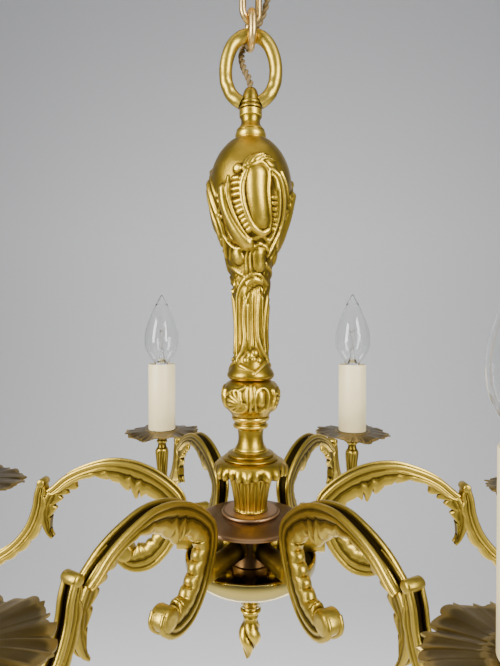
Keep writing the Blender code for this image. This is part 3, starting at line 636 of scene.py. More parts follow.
cartouche = [
    # low swellings that the finer work stands on
    ([(2.0, 21.0), (3.0, 36.0), (4.0, 52.0)], (14.5, 12.0), 1.5, "soft"),
    ([(-14.0, 30.0), (-12.4, 42.0), (-7.0, 54.0), (-1.0, 62.0)], (5.0, 5.4), 1.3, "soft"),
    ([(16.0, 24.0), (18.4, 36.0), (16.4, 50.0), (11.0, 64.0)], (4.6, 4.2), 1.0, "soft"),
    ([(0.0, 16.0), (7.0, 13.4), (13.6, 16.4)], (5.0, 4.0), 1.2, "soft"),
    ([(-1.6, 92.0), (-2.0, 112.0), (-3.0, 130.0)], (4.6, 5.6), 0.9, "soft"),
    # boss, rims and border
    ([(5.3, 23.0), (5.2, 33.0), (6.6, 43.0), (7.4, 48.5)], (6.0, 5.2), 2.3, "round"),
    ([(-1.6, 21.5), (-4.3, 29.0), (-4.0, 38.0), (-1.6, 46.0), (2.2, 53.4), (7.4, 56.6),
      (11.4, 54.6)], (1.8, 1.5), 1.7, "round"),
    ([(0.2, 19.0), (5.4, 15.4), (10.0, 17.6), (11.8, 23.0), (11.4, 32.0), (12.0, 41.0),
      (12.6, 49.0), (11.4, 54.6)], (1.3, 1.3), 1.5, "round"),
    ([(-12.4, 23.6), (-12.8, 33.0), (-10.2, 43.0), (-6.2, 51.6), (-0.6, 59.2), (3.4, 59.4),
      (7.6, 57.6), (11.0, 60.0), (14.2, 58.0)], (0.9, 0.8), 1.1, "round"),
    ([(-6.6, 19.4)], (2.5, 2.5), 2.2, "flat"),
    ([(-3.4, 23.4)], (1.4, 1.4), 1.6, "round"),
    # feathered leaf over the boss
    ([(-3.2, 19.6), (-1.6, 14.6), (1.4, 11.6)], (1.3, 0.5), 1.7, "ridge"),
    ([(-1.6, 18.4), (1.4, 13.0), (5.2, 9.8)], (1.3, 0.5), 1.9, "ridge"),
    ([(0.8, 16.4), (4.4, 11.4), (9.2, 9.4)], (1.3, 0.5), 1.9, "ridge"),
    ([(3.4, 14.8), (7.8, 11.4), (12.6, 10.8)], (1.3, 0.5), 1.8, "ridge"),
    ([(6.2, 14.6), (10.4, 12.6), (15.2, 13.2)], (1.3, 0.6), 1.8, "ridge"),
    # long ribs at the right
    ([(11.6, 19.6), (15.8, 20.6), (19.0, 26.0), (20.9, 34.0), (20.6, 44.0), (18.4, 53.0),
      (14.8, 61.0), (11.0, 68.6)], (1.7, 1.1), 1.9, "round"),
    ([(13.4, 22.2), (16.4, 27.4), (17.6, 35.4), (17.2, 45.4), (14.4, 55.0), (11.2, 61.0)],
     (1.1, 0.9), 1.4, "round"),
    ([(19.6, 19.0), (22.9, 27.0), (23.8, 38.0), (22.0, 50.0), (17.6, 61.0), (13.0, 70.5)],
     (0.8, 0.7), 0.9, "round"),
    ([(15.4, 25.6), (16.2, 30.4)], (1.5, 0.8), 1.3, "round"),
    # branch at the left, with two curled ends
    ([(-16.4, 30.2), (-16.2, 37.0), (-14.2, 44.4), (-10.6, 52.4), (-5.4, 60.0), (-1.4, 63.0)],
     (2.9, 3.8), 2.6, "round"),
    ([(-16.4, 31.0), (-19.0, 30.6), (-19.8, 33.4), (-18.2, 34.6)], (1.0, 0.9), 1.5, "round"),
    ([(-16.0, 40.2), (-19.0, 41.0), (-19.2, 44.6), (-17.4, 45.4)], (1.0, 0.9), 1.5, "round"),
    ([(-18.6, 48.0), (-16.6, 55.4), (-12.4, 62.0), (-7.6, 65.2), (-2.4, 65.2)],
     (0.9, 1.2), 1.5, "round"),
    ([(-14.2, 53.0), (-11.6, 58.6), (-8.0, 61.6)], (1.5, 0.8), 1.0, "round"),
    ([(-13.2, 60.0), (-9.4, 63.4)], (0.9, 0.6), -0.9, "round"),
    # two bosses under it, the right one framed
    ([(-8.2, 68.6), (-7.4, 70.4)], (4.0, 3.6), 2.0, "round"),
    ([(6.0, 68.6), (6.2, 75.4)], (4.1, 3.6), 2.1, "round"),
    ([(0.4, 78.0), (0.2, 70.4), (2.4, 65.0), (7.0, 62.8), (11.4, 66.0)],
     (0.9, 0.9), 1.2, "round"),
    ([(-2.2, 79.0), (-2.4, 72.0), (-1.0, 66.0)], (0.8, 0.9), 1.0, "round"),
    ([(-14.6, 73.6), (-9.0, 78.2), (-3.4, 81.6)], (0.8, 0.8), 1.2, "round"),
    # the arched panel of the waist, its ribs and its middle flute
    ([(-8.4, 138.0), (-8.2, 118.0), (-8.4, 102.0), (-7.8, 92.0), (-4.6, 85.0), (1.0, 81.0),
      (6.4, 81.0), (10.8, 86.4)], (0.9, 0.9), 1.2, "round"),
    ([(-3.6, 98.4), (-1.2, 92.0), (3.0, 88.6), (7.0, 88.0), (9.0, 91.0)],
     (0.9, 0.9), -1.1, "soft"),
    ([(-1.6, 86.6), (3.0, 83.8), (7.6, 85.4)], (1.5, 1.2), 1.2, "round"),
    ([(-3.0, 95.4), (-3.8, 104.0), (-3.8, 114.0), (-3.2, 124.0), (-4.6, 133.0), (-9.6, 141.6)],
     (1.1, 1.3), 1.6, "round"),
    ([(-1.4, 100.0), (-1.4, 114.0), (-1.2, 126.0)], (0.6, 0.5), 0.8, "round"),
    ([(1.2, 94.0), (1.0, 112.0), (1.6, 130.0)], (1.9, 1.7), 0.9, "soft"),
    ([(5.6, 93.0), (4.7, 104.0), (4.5, 116.0), (5.2, 126.0), (7.6, 134.0), (11.4, 141.0)],
     (1.0, 1.2), 1.6, "round"),
    ([(5.0, 91.6), (5.8, 89.2), (7.6, 89.6), (7.2, 91.6)], (0.8, 0.7), 1.3, "round"),
    ([(7.6, 95.0), (7.4, 110.0), (8.0, 124.0)], (0.7, 0.7), 0.9, "round"),
    ([(-6.0, 97.0), (-6.2, 112.0), (-6.0, 128.0)], (1.0, 1.0), -0.6, "soft"),
    # flowers and leaf tips at the foot
    ([(0.2, 137.4)], (2.2, 2.2), 1.6, "round"),
    ([(3.2, 135.6)], (2.1, 2.1), 1.8, "round"),
    ([(2.4, 139.6)], (1.7, 1.7), 1.5, "round"),
    ([(-2.6, 140.2)], (1.8, 1.8), 1.4, "round"),
    ([(6.0, 140.4)], (1.8, 1.8), 1.5, "round"),
    ([(-6.4, 143.6), (-2.0, 145.6), (2.6, 147.4)], (1.1, 1.0), 1.2, "round"),
    ([(10.2, 142.0), (6.6, 145.6), (2.8, 148.6)], (1.1, 1.0), 1.2, "round"),
]
cartouche += bars_along([(-7.6, 24.0), (-7.6, 33.0), (-6.0, 42.0), (-2.8, 49.4), (1.4, 56.0)],
                        11, 1.6, 1.25, 1.5)
cartouche += bars_along([(14.6, 35.0), (14.8, 42.0), (14.0, 49.0), (12.8, 54.6)],
                        7, 1.0, 0.9, 1.1)
stipple = np.random.default_rng(4)
for _ in range(46):
    fall = stipple.uniform(0, 1)
    edge_x = -15.0 + 6.6 * fall
    cartouche.append(([(stipple.uniform(edge_x, -6.9 - 1.6 * fall), 79.0 + 15.0 * fall)],
                      (0.55, 0.55), 0.6, "round"))


CARTOUCHE_DROP = 6.4     # how far it is moved down the vase from where it is drawn
PANEL_FOOT, DROP_FADE = 138.0, 34.0      # the move fades out over this length to the foot


def lowered(stroke):
    """The whole cartouche sits lower on the vase, and its waist panel keeps its foot."""
    points, widths, height, shape = stroke
    return ([(x, down + CARTOUCHE_DROP * min(1.0, max(0.0, (PANEL_FOOT - down) / DROP_FADE)))
             for x, down in points], widths, height, shape)


cartouche = [lowered(stroke) for stroke in cartouche]
vase_outline = [(0.42 * VASE_R, -0.3)] + [(out * VASE_R, -down * VASE_H) for out, down in (
    (0.56, 0.02), (0.76, 0.065), (0.905, 0.125), (0.965, 0.19), (0.95, 0.25), (0.865, 0.32),
    (0.725, 0.395), (0.575, 0.48), (0.455, 0.58), (0.385, 0.70), (0.35, 0.80),
    (0.375, 0.89), (0.46, 0.945), (0.55, 0.975), (0.55, 0.99), (0.50, 1.0))]
casting("vase_casting", "vase", profile(vase_outline, 17), cartouche, copies=3, steps=264,
        rounds=30, depth=0.0006)

# The knop under it: a shell at the left, a framed boss at the right, leaves between.
knop_relief = [
    ([(-3.0, 2.6), (-5.4, 4.8), (-10.6, 5.6), (-14.6, 8.4)], (1.1, 0.9), 1.3, "round"),
    ([(0.6, 2.0), (1.0, 8.0), (0.6, 15.0), (0.4, 19.0)], (1.0, 0.7), 1.3, "round"),
    ([(-1.4, 3.0), (-2.2, 8.0), (-1.2, 14.0)], (0.8, 0.6), 1.1, "round"),
    ([(3.2, 3.0), (2.8, 9.0), (1.8, 15.4)], (0.8, 0.6), 1.1, "round"),
    ([(6.8, 7.6), (7.0, 13.0)], (2.9, 2.6), 1.6, "round"),
    ([(4.2, 18.6), (3.4, 11.0), (4.6, 5.2), (9.4, 4.0), (11.6, 9.0), (10.6, 16.6),
      (6.6, 19.4)], (0.8, 0.8), 1.3, "round"),
    ([(-13.4, 16.6), (-8.8, 19.6), (-3.8, 18.8), (-1.6, 15.4)], (1.1, 1.1), 1.5, "round"),
    ([(-3.6, 14.6), (-4.6, 17.2), (-8.2, 17.4)], (1.5, 1.2), 1.2, "round"),
    ([(14.6, 6.0), (15.4, 11.0), (14.0, 16.0)], (1.2, 1.0), 1.4, "round"),
]
for k in range(7):
    fan = math.radians(-78 + 22 * k)
    tip = (-5.0 - 8.4 * math.cos(fan), 13.2 + 7.6 * math.sin(fan))
    knop_relief.append(([(-5.0, 14.4), tip], (0.5, 1.35), 1.5, "round"))
casting("knop_casting", "knop", profile([
    (10.4, -0.1), (13.6, -0.9), (16.6, -3.6), (18.0, -8.4), (17.6, -13.4), (15.6, -18.4),
    (13.0, -21.6), (12.2, -23.0), (11.6, -23.6)], 9), knop_relief, copies=3, steps=208,
    rounds=24, depth=0.0005)

casting("neck_turning", "turned_neck", profile([
    (12.1, -0.05), (12.3, -0.9), (11.6, -2.2), (10.7, -3.0), (10.3, -3.6), (10.3, -3.6),
    (10.3, -4.4), (11.3, -5.2), (11.4, -6.2), (10.6, -7.2), (10.6, -7.2), (9.4, -7.5),
    (8.6, -8.4), (8.2, -10.4), (8.0, -13.0), (8.2, -16.0), (9.0, -18.6), (10.2, -20.6),
    (10.3, -21.2)], 6))

# The collar: two turned steps over a skirt of leaves with ruffled, drooping tips.
collar_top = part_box("crown_collar")[1][2]
collar = spun("leaf_collar", [(BORE, -0.05), *profile([
    (10.8, -0.05), (11.8, -0.9), (13.4, -1.6), (14.6, -1.9), (14.6, -1.9), (15.2, -2.4),
    (15.2, -3.0), (14.8, -3.5), (14.8, -3.5), (16.6, -4.0), (17.6, -4.6), (17.8, -5.2),
    (17.2, -5.8), (17.2, -5.8), (19.6, -6.4), (21.8, -7.6), (23.4, -9.6), (24.2, -12.0),
    (23.8, -14.4), (22.6, -15.6), (21.0, -15.2), (19.4, -14.0), (16.0, -13.0),
    (12.6, -13.4)], 7), (BORE, -13.4)], collar_top, 216)
for vert in collar.vertices:
    reach = math.hypot(vert.co.x, vert.co.y) / MM
    fall = (collar_top - vert.co.z) / MM
    if fall > 6.2 and reach > 15.5:
        angle = math.atan2(vert.co.y, vert.co.x)
        leaf = abs(math.cos(angle * 4 + 0.5))
        frill = math.cos(angle * 24 + 1.6 * math.sin(angle * 3))
        weight = min(1, (fall - 6.2) / 6.0) * min(1, (reach - 15.5) / 3.0)
        grow = 1 + weight * (0.075 * leaf ** 0.6 - 0.085 + 0.026 * frill)
        vert.co.x *= grow
        vert.co.y *= grow
        vert.co.z -= weight * MM * (1.5 * leaf - 1.3 + 0.4 * frill)
collar.update()
place_piece("leaf_collar", crest_of(collar, 24, 0.0005), GILT, "gilt_brass", "crown_collar",
            body="chandelier")

# The cup: twelve pointed flutes, each with a rib down its middle.
cup_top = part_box("fluted_cup")[1][2]
cup = spun("flute_cup", [(BORE, -0.1), *profile([
    (13.9, -0.1), (13.5, -2.6), (12.9, -6.6), (12.2, -11.0), (11.4, -16.0), (10.9, -20.0),
    (11.2, -21.4), (11.1, -21.9)], 8), (BORE, -21.9)], cup_top, 240)
for vert in cup.vertices:
    reach = math.hypot(vert.co.x, vert.co.y) / MM
    fall = (cup_top - vert.co.z) / MM
    if reach > 8:
        turn = (math.degrees(math.atan2(vert.co.y, vert.co.x)) / 30) % 1.0 - 0.5
        point = min(1.0, fall / 9.0) ** 0.7
        flute = max(0.0, 1 - abs(turn) / (0.10 + 0.36 * point))
        rib = math.exp(-(turn / 0.085) ** 2)
        seam = math.exp(-((abs(turn) - 0.5) / 0.07) ** 2)
        cut = -1.2 * flute ** 0.6 + 0.8 * rib * min(1, fall / 4) + 0.2 - 0.7 * seam
        fade = min(1, fall / 1.5) * min(1, max(0, 21.6 - fall) / 1.2)
        grow = 1 + fade * cut / reach
        vert.co.x *= grow
        vert.co.y *= grow
cup.update()
place_piece("flute_cup", crest_of(cup, 20, 0.0004), GILT, "gilt_brass", "fluted_cup",
            body="chandelier")


# -------------------------------------------------------------------------- hub
# A spun dish and drum in brown patina, into which the arms' stubs screw, over a polished
# bowl whose cover is coloured near black as painted shade of the bowl's inside; a ringed
# collar and a twisted flame close the tie tube.
casting("hub_dish", "hub_disc", profile([
    (16.2, 0.0), (17.6, -0.05), (18.4, -0.4), (18.8, -1.1), (18.5, -2.0), (17.6, -2.3),
    (17.6, -2.3), (19.2, -2.7), (23.0, -3.3), (28.0, -4.3), (31.8, -5.3), (33.2, -5.9),
    (33.5, -6.6), (33.4, -7.6), (33.0, -8.1), (33.0, -8.1), (32.2, -8.1), (31.8, -7.4),
    (26.0, -6.0), (16.0, -5.2)], 6), finish=WAXED, slot="patinated_brass", depth=0.0005)
casting("hub_barrel", "hub_drum", profile([
    (12.2, 0.0), (12.6, -0.3), (12.7, -0.8), (12.7, -0.8), (12.7, -6.0), (12.7, -19.0),
    (12.7, -24.2), (12.7, -24.2), (12.6, -24.7), (12.2, -25.0)], 4), finish=WAXED,
    slot="patinated_brass")
# painted shade: the bowl's cover is coloured near black to stand for the shaded inside of the open
# bowl
PAINTED_SHADE_POLISH = cast_brass("painted_shade_polish", (0.020, 0.018, 0.007), (0.085, 0.072, 0.026),
                         (0.26, 0.21, 0.085), 0.12, patch=55.0)
casting("bowl_lid", "bowl_cover", profile([
    (35.9, 0.0), (36.3, -0.3), (36.3, -1.1), (35.9, -1.4)], 3), finish=PAINTED_SHADE_POLISH,
    slot="patinated_brass")

POLISHED = cast_brass("polished_bowl", (0.06, 0.05, 0.012), (0.36, 0.275, 0.060),
                      (0.52, 0.40, 0.11), 0.13, patch=55.0, bump=0.00001)
bowl_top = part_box("bowl")[1][2]
bowl_out = profile([(41.4, 0.0), (42.1, -0.3), (42.4, -1.2), (42.4, -3.6), (42.0, -6.0),
                    (40.8, -8.6), (38.0, -11.8), (33.4, -15.0), (27.6, -18.4), (21.6, -22.2),
                    (16.0, -26.2), (11.8, -29.8), (9.2, -32.2), (7.8, -33.6),
                    (7.2, -34.5)], 6)
bowl_in = profile([(BORE, -34.5), (BORE, -31.6), (BORE, -31.6), (8.4, -28.6), (13.6, -23.4),
                   (21.4, -16.6), (29.4, -11.4), (38.4, -7.0), (40.2, -5.4), (40.5, 0.0)], 4)
place_piece("polished_bowl", crest_of(spun("polished_bowl", bowl_out + bowl_in, bowl_top, 128)),
            POLISHED, "polished_brass", "bowl", body="chandelier")

casting("ringed_collar", "finial_collar", profile([
    (6.2, -0.05), (5.4, -0.5), (4.9, -1.2), (5.2, -1.9), (5.2, -1.9), (6.4, -2.2),
    (6.8, -3.1), (6.5, -4.1), (5.6, -4.5), (5.6, -4.5), (5.0, -4.9), (4.9, -6.0),
    (5.1, -7.1)], 5))

FLAME_LONG, FLAME_TWIST = 28.7, 215      # millimetres down to the tip, degrees of twist
FLAME_LEAN = 2.3                         # how far the tip bends aside, in millimetres
flame_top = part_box("finial")[1][2]
flame = spun("flame_finial", profile([
    (0.0, 0.0), (4.4, 0.0), (4.4, 0.0), (4.9, -0.1), (4.6, -1.6), (4.6, -3.2), (5.6, -5.6),
    (7.0, -8.6), (7.5, -12.0), (6.9, -15.6), (5.4, -19.2), (3.7, -22.6), (2.2, -25.6),
    (1.1, -27.6), (0.4, -28.4), (0.0, -28.5)], 5), flame_top, 96)
for vert in flame.vertices:
    fall = max(0.0, (flame_top - vert.co.z) / MM)
    grip = min(1.0, max(0.0, (fall - 3.0) / 5.0))
    angle = math.atan2(vert.co.y, vert.co.x)
    lobe = abs(math.cos(1.5 * (angle - math.radians(FLAME_TWIST) * (fall / FLAME_LONG) ** 1.15)))
    vert.co.x *= 1 - grip * 0.34 * (1 - lobe) ** 1.5
    vert.co.y *= 1 - grip * 0.34 * (1 - lobe) ** 1.5
    vert.co.x -= FLAME_LEAN * MM * (fall / FLAME_LONG) ** 2.2
flame.update()
place_piece("flame_finial", crest_of(flame), GILT, "gilt_brass", "finial", body="chandelier")

tube_foot, tube_top = (corner[2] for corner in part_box("tie_tube"))
tube_long = (tube_foot - tube_top) / MM
place_piece("tie_rod", spun("tie_rod", [(2.9, 0), (4.0, 0), (4.0, tube_long), (2.9, tube_long)],
                            tube_top, 32), WAXED, "patinated_brass", "tie_tube",
            body="chandelier")


# ------------------------------------------------------------------------- arms
# Six alike, cast in one piece: a leafy C scroll and arch with a groove between two lips,
# a second strand of leaf beside the knee, a tail that turns up under the candle, a stem
# with a wrapped leaf, and a plain stub screwed into the drum.
ARM_REACH, STUB_LEVEL, PAN_LEVEL = 189.0, -417.4, 36.0
scroll_line = [
    (87.8, -3.0, 4.6), (89.6, -7.4, 5.4), (89.0, -11.6, 6.6), (86.4, -14.8, 9.0),
    (81.0, -18.7, 12.5), (74.0, -20.2, 15.5), (66.0, -18.6, 16.6), (59.0, -14.0, 15.2),
    (52.0, -5.7, 14.4), (46.6, 4.6, 14.0), (43.4, 13.5, 13.6), (42.3, 22.0, 14.6),
    (44.4, 29.5, 15.4), (50.0, 36.0, 15.6), (57.5, 41.9, 15.8), (66.0, 46.8, 17.2),
    (76.0, 50.5, 17.4), (86.0, 52.2, 15.2), (95.0, 52.1, 12.2), (104.0, 50.0, 9.4),
    (114.0, 46.4, 8.0), (122.5, 41.8, 7.6), (129.6, 35.8, 6.6), (133.2, 33.0, 5.0)]
tail_line = [
    (139.6, 37.0, 5.0), (141.9, 30.0, 7.4), (143.4, 21.0, 8.8), (147.0, 11.0, 9.2),
    (151.8, 3.6, 9.0), (157.4, -2.4, 8.6), (164.2, -7.5, 8.2), (172.0, -11.8, 7.8),
    (179.0, -13.6, 7.2), (184.0, -13.2, 6.4), (187.6, -11.6, 5.0)]
leaf_line = [
    (117.6, 42.6, 7.0), (126.0, 38.4, 8.6), (132.0, 33.0, 8.8), (136.0, 26.0, 8.4),
    (138.0, 18.0, 7.8), (137.6, 10.0, 6.4), (134.6, 3.2, 4.2), (131.2, -0.2, 2.2)]


def sweep(bm, line, across, shift, lobes, per=10):
    """A leaf-edged casting run along a line: lips and groove outside, leaf inside."""
    path = smooth_line([Vector((x, 0, z)) for x, z, _ in line], per)
    depths = smooth_line([Vector((d, 0, 0)) for _, _, d in line], per)
    rings, walked = [], 0.0
    count = len(path)
    for i, place in enumerate(path):
        along = (path[min(i + 1, count - 1)] - path[max(i - 1, 0)]).normalized()
        inward = Vector((along.z, 0, -along.x))
        if i:
            walked += (place - path[i - 1]).length
        deep = depths[i].x
        pitch, height = lobes(place.x, walked)
        wave = (walked / pitch + 0.12 * math.sin(walked / 9.7)) % 1.0
        curl = height * (1.45 * max(0.0, math.sin(math.pi * wave ** 1.35)) ** 0.6 - 0.5)
        tight = min(1.0, max(0.25, (0.62 * deep - 3.0) / 5.2))
        vein = math.cos(2 * math.pi * wave)
        fine = math.cos(6 * math.pi * wave)
        half = [(3.0, 0.0), (3.0, 1.6), (2.6, 2.3), (0.8, 2.5), (0.1, 3.0), (0.0, 3.9),
                (0.5, 4.8), (1.5, 5.2), (2.6, 4.9), (3.3, 4.5)]
        half = [(n * min(1.0, deep / 6), y) for n, y in half]
        base = half[-1][0]
        for share, y, swell in ((0.10, 4.9, 0.1), (0.22, 5.0, 0.25), (0.32, 4.2, 0.3),
                                (0.46, 4.5, 0.5), (0.60, 4.6, 0.6), (0.74, 4.2, 0.7),
                                (0.86, 3.5, 0.6), (0.95, 2.5, 0.3), (1.0, 1.2, 0.1)):
            reach = base + (deep - base) * share + curl * share ** 1.6
            grown = y + tight * height * 0.16 * (swell * share * vein + 0.14 * share * fine)
            half.append((reach, grown))
        half.append((half[-1][0] + 0.1, 0.0))
        loop = half + [(n, -y) for n, y in reversed(half[1:-1])]
        lean = along * (0.55 * height)
        ring = []
        for n, y in loop:
            share = max(0.0, n - base) / max(deep - base, 1)
            ring.append(bm.verts.new((place + inward * n - lean * share ** 2 +
                                      Vector((0, y * across + shift, 0))) * MM))
        rings.append(ring)
    for low, high in zip(rings, rings[1:]):
        for k in range(len(low)):
            after = (k + 1) % len(low)
            bm.faces.new((low[k], low[after], high[after], high[k]))
    for ring in (rings[0], rings[-1]):
        middle = bm.verts.new(sum((v.co for v in ring), Vector()) / len(ring))
        for k in range(len(ring)):
            bm.faces.new((ring[k], ring[(k + 1) % len(ring)], middle))


def roller(bm, outline, centre, axis, steps=40):
    """A turned lump on its own axis: (radius, place along the axis) rows in millimetres."""
    turn = Vector((0, 0, 1)).rotation_difference(Vector(axis)).to_matrix()
    verts = [bm.verts.new(turn @ Vector((r * MM, 0, z * MM)) + Vector(centre) * MM)
             for r, z in outline]
    edges = [bm.edges.new(pair) for pair in zip(verts, verts[1:])]
    bmesh.ops.spin(bm, geom=verts + edges, axis=turn @ Vector((0, 0, 1)),
                   cent=Vector(centre) * MM, angle=2 * math.pi, steps=steps, use_merge=True)


def scroll_lobes(x, walked):
    """Length and height of the leaf's lobes: small in the scroll, two leaves on the arch."""
    if walked < 16 or x > 118:
        return 8.0, 0.25
    if walked < 103.6:
        return 8.6, 1.25
    share = min(1.0, max(0.0, (x - 50) / 60))
    leaves = 0.55 + 0.45 * math.cos(2 * math.pi * (share - 0.36) * 1.9)
    return 9.4, 0.3 + 5.2 * math.sin(math.pi * share) ** 0.7 * leaves


arm_bm = bmesh.new()
sweep(arm_bm, scroll_line, 1.0, 0.0, scroll_lobes)
sweep(arm_bm, tail_line, 0.86, 0.0, lambda x, walked: (9.0, 1.0))
sweep(arm_bm, leaf_line, 0.55, 0.0, lambda x, walked: (9.5, 2.6))
roller(arm_bm, [(0, -5.2), (2.2, -5.5), (4.6, -5.3), (5.9, -4.7), (6.3, -3.8), (6.3, 3.8),
                (5.9, 4.7), (4.6, 5.3), (2.2, 5.5), (0, 5.2)], (82.6, 0, -8.0), (0, 1, 0))
roller(arm_bm, [(0, -4.9), (1.5, -4.9), (2.3, -4.6), (2.7, -3.9), (2.7, 3.9), (2.3, 4.6),
                (1.5, 4.9), (0, 4.9)], (137.2, 0, 36.9), (0, 1, 0))
roller(arm_bm, [(0, 13.0), (5.6, 13.0), (6.2, 13.5), (6.2, 17.0), (5.9, 17.3), (5.9, 38.0),
                (6.2, 39.0), (6.2, 47.6), (0, 47.8)], (0, 0, 0), (1, 0, 0))
bmesh.ops.remove_doubles(arm_bm, verts=arm_bm.verts, dist=2e-6)
stem = bmesh.new()
roller(stem, profile([(0, -17.2), (2.6, -17.1), (3.8, -15.6), (4.7, -12.0), (5.3, -2.0),
                      (5.8, 6.0), (6.4, 13.0), (6.2, 16.8), (4.6, 19.4), (4.0, 21.8),
                      (4.0, 23.6), (4.0, 23.6), (4.9, 24.2), (5.3, 25.4), (4.8, 26.6),
                      (4.8, 26.6), (4.3, 27.6), (4.8, 29.8), (6.6, 32.8), (7.8, 34.2),
                      (8.0, 34.8), (8.0, 35.7), (0, 35.7)], 4), (ARM_REACH, 0, 0),
       (0, 0, 1), 72)
bmesh.ops.remove_doubles(stem, verts=stem.verts, dist=2e-6)
for vert in stem.verts:
    rise = vert.co.z / MM
    if -16 < rise < 18:
        out = Vector((vert.co.x - ARM_REACH * MM, vert.co.y, 0))
        angle = math.atan2(out.y, out.x)
        fold = math.cos(3 * angle + 0.10 * rise)
        grip = min(1, (rise + 16) / 5) * min(1, (18 - rise) / 3)
        veins = 0.05 * math.cos(15 * angle - 0.2 * rise)
        grow = 1 - grip * (0.16 * (0.5 - 0.5 * fold) ** 2 + veins)
        vert.co.x = ARM_REACH * MM + out.x * grow
        vert.co.y = out.y * grow
stem_mesh = bpy.data.meshes.new("stem")
stem.to_mesh(stem_mesh)
stem.free()
arm_bm.from_mesh(stem_mesh)
bmesh.ops.recalc_face_normals(arm_bm, faces=arm_bm.faces)
arm_mesh = crest_of(mesh_from("scroll_arm", arm_bm, 48), 16, 0.00045)


def set_round(mesh, i, reach=ARM_REACH, level=STUB_LEVEL + PAN_LEVEL):
    """A copy of a mesh at one of the six places round the column."""
    copy = mesh.copy()
    copy.transform(Matrix.Rotation(math.radians(60 * i), 4, "Z") @
                   Matrix.Translation(Vector((reach, 0, level)) * MM))
    return copy


for i in range(6):
    place_piece(f"scroll_arm_{i + 1}", set_round(arm_mesh, i, 0.0, STUB_LEVEL), DULL_GILT,
                "gilt_brass", f"arm_{i + 1}", body="chandelier")


# ------------------------------------------------------------------- drip pans
# Pressed brass leaf, dark with age: a flat middle, then ribs out to ruffled lobes with
# fine saw-like tips that droop and rise by turns.
PAN_BRONZE = cast_brass("pan_bronze", (0.040, 0.027, 0.008), (0.165, 0.112, 0.032),
                        (0.32, 0.225, 0.070), 0.36, patch=70.0)
PAN_AROUND, PAN_OUT = 320, 22            # points round the pan, and steps out to its edge
PAN_EYE, PAN_EDGE = 6.2, 32.0            # radius of its middle hole, and of its plain edge


def pan_place(k, share, under):
    """One point of the pan: turn k, share of the way out, upper or under side."""
    angle = 2 * math.pi * k / PAN_AROUND
    lobe = abs(math.cos(4 * angle)) ** 0.6
    second = abs(math.cos(12 * angle + 0.4)) ** 0.7
    saw = 2 * ((angle * 31 / (2 * math.pi) + 0.06 * math.sin(5 * angle)) % 1.0) - 1
    edge = PAN_EDGE + 2.9 * lobe + 1.5 * second + 1.1 * saw
    reach = PAN_EYE + (edge - PAN_EYE) * share
    even = PAN_EYE + 28.4 * share
    out = max(0.0, (even - 16.0) / 21.0)
    ruffle = 1.9 * math.cos(4 * angle + 0.6) + 0.9 * math.cos(12 * angle)
    level = -2.1 * out ** 1.4 + ruffle * out ** 1.8
    level += 0.10 * out * math.cos(31 * angle) + 0.5 * math.exp(-((even - 16) / 1.2) ** 2)
    level -= 0.6 * max(0.0, out - 0.8) * 5 * lobe
    thick = 0.0 if under else 0.85
    return Vector((reach * math.cos(angle), reach * math.sin(angle),
                   max(-4.2, level) + thick + (0.15 if not under else 0.1))) * MM


pan_bm = bmesh.new()
pan_rows = []
for under in (False, True):
    for j in range(PAN_OUT + 1):
        share = j / PAN_OUT if not under else 1 - j / PAN_OUT
        pan_rows.append([pan_bm.verts.new(pan_place(k, share ** 0.8, under))
                         for k in range(PAN_AROUND)])
for j, low in enumerate(pan_rows):
    high = pan_rows[(j + 1) % len(pan_rows)]
    for k in range(PAN_AROUND):
        after = (k + 1) % PAN_AROUND
        pan_bm.faces.new((low[k], low[after], high[after], high[k]))
bmesh.ops.recalc_face_normals(pan_bm, faces=pan_bm.faces)
pan_mesh = crest_of(mesh_from("leaf_pan", pan_bm, 50), 16, 0.0003)
for i in range(6):
    place_piece(f"leaf_pan_{i + 1}", set_round(pan_mesh, i), PAN_BRONZE, "drip_pan_bronze",
                f"drip_pan_{i + 1}", body="chandelier")


# --------------------------------------------------------------------- candles
# A cream card tube stands on each pan round a brass lampholder, which is screwed to the
# stem through the pan and takes the bulb's cap.
CREAM = grained("cream_card", (0.96, 0.82, 0.47), (0.92, 0.77, 0.42), 0.42, 0.0,
                patch=45.0, grain=700.0, spread=0.08)
HOLDER = grained("holder_metal", (0.62, 0.50, 0.27), (0.46, 0.36, 0.18), 0.34, 1.0)
CAP_METAL = grained("cap_metal", (0.66, 0.58, 0.40), (0.50, 0.43, 0.29), 0.30, 1.0)

sleeve_mesh = spun("sleeve", [
    (12.35, 1.5), (13.05, 1.5), (13.25, 1.8), (13.25, 40.0), (13.22, 66.1), (12.95, 66.5),
    (12.6, 66.5), (12.35, 66.2)], 0.0, 96)
holder_mesh = spun("holder", [
    (0, 0.3), (5.4, 0.3), (5.4, 1.5), (11.4, 1.5), (11.4, 54.6), (11.0, 55.2), (9.4, 56.4),
    (9.2, 57.0), (9.2, 64.2), (8.9, 64.6), (7.4, 64.6), (7.2, 64.3), (7.2, 40.6), (0, 40.6)],
    0.0, 64)
thread = [(6.9 - (0.45 if k % 2 else 0.0), 47.6 + 0.85 * k) for k in range(19)]
cap_mesh = spun("cap", [(0, 42.6), (3.2, 42.6), (3.6, 43.2), (5.4, 45.4), (6.1, 46.6), *thread,
                        (6.9, 63.6), (6.9, 65.3), (6.6, 65.6), (0, 65.6)], 0.0, 64)
for i in range(6):
    place_piece(f"card_sleeve_{i + 1}", set_round(sleeve_mesh, i), CREAM, "candle_cream",
                f"candle_sleeve_{i + 1}", body="chandelier")
    place_piece(f"screw_holder_{i + 1}", set_round(holder_mesh, i), HOLDER, "holder_brass",
                f"lampholder_{i + 1}", body="chandelier")
    place_piece(f"screw_cap_{i + 1}", set_round(cap_mesh, i), CAP_METAL, "bulb_cap_brass",
                f"bulb_cap_{i + 1}", body=f"bulb_{i + 1}")


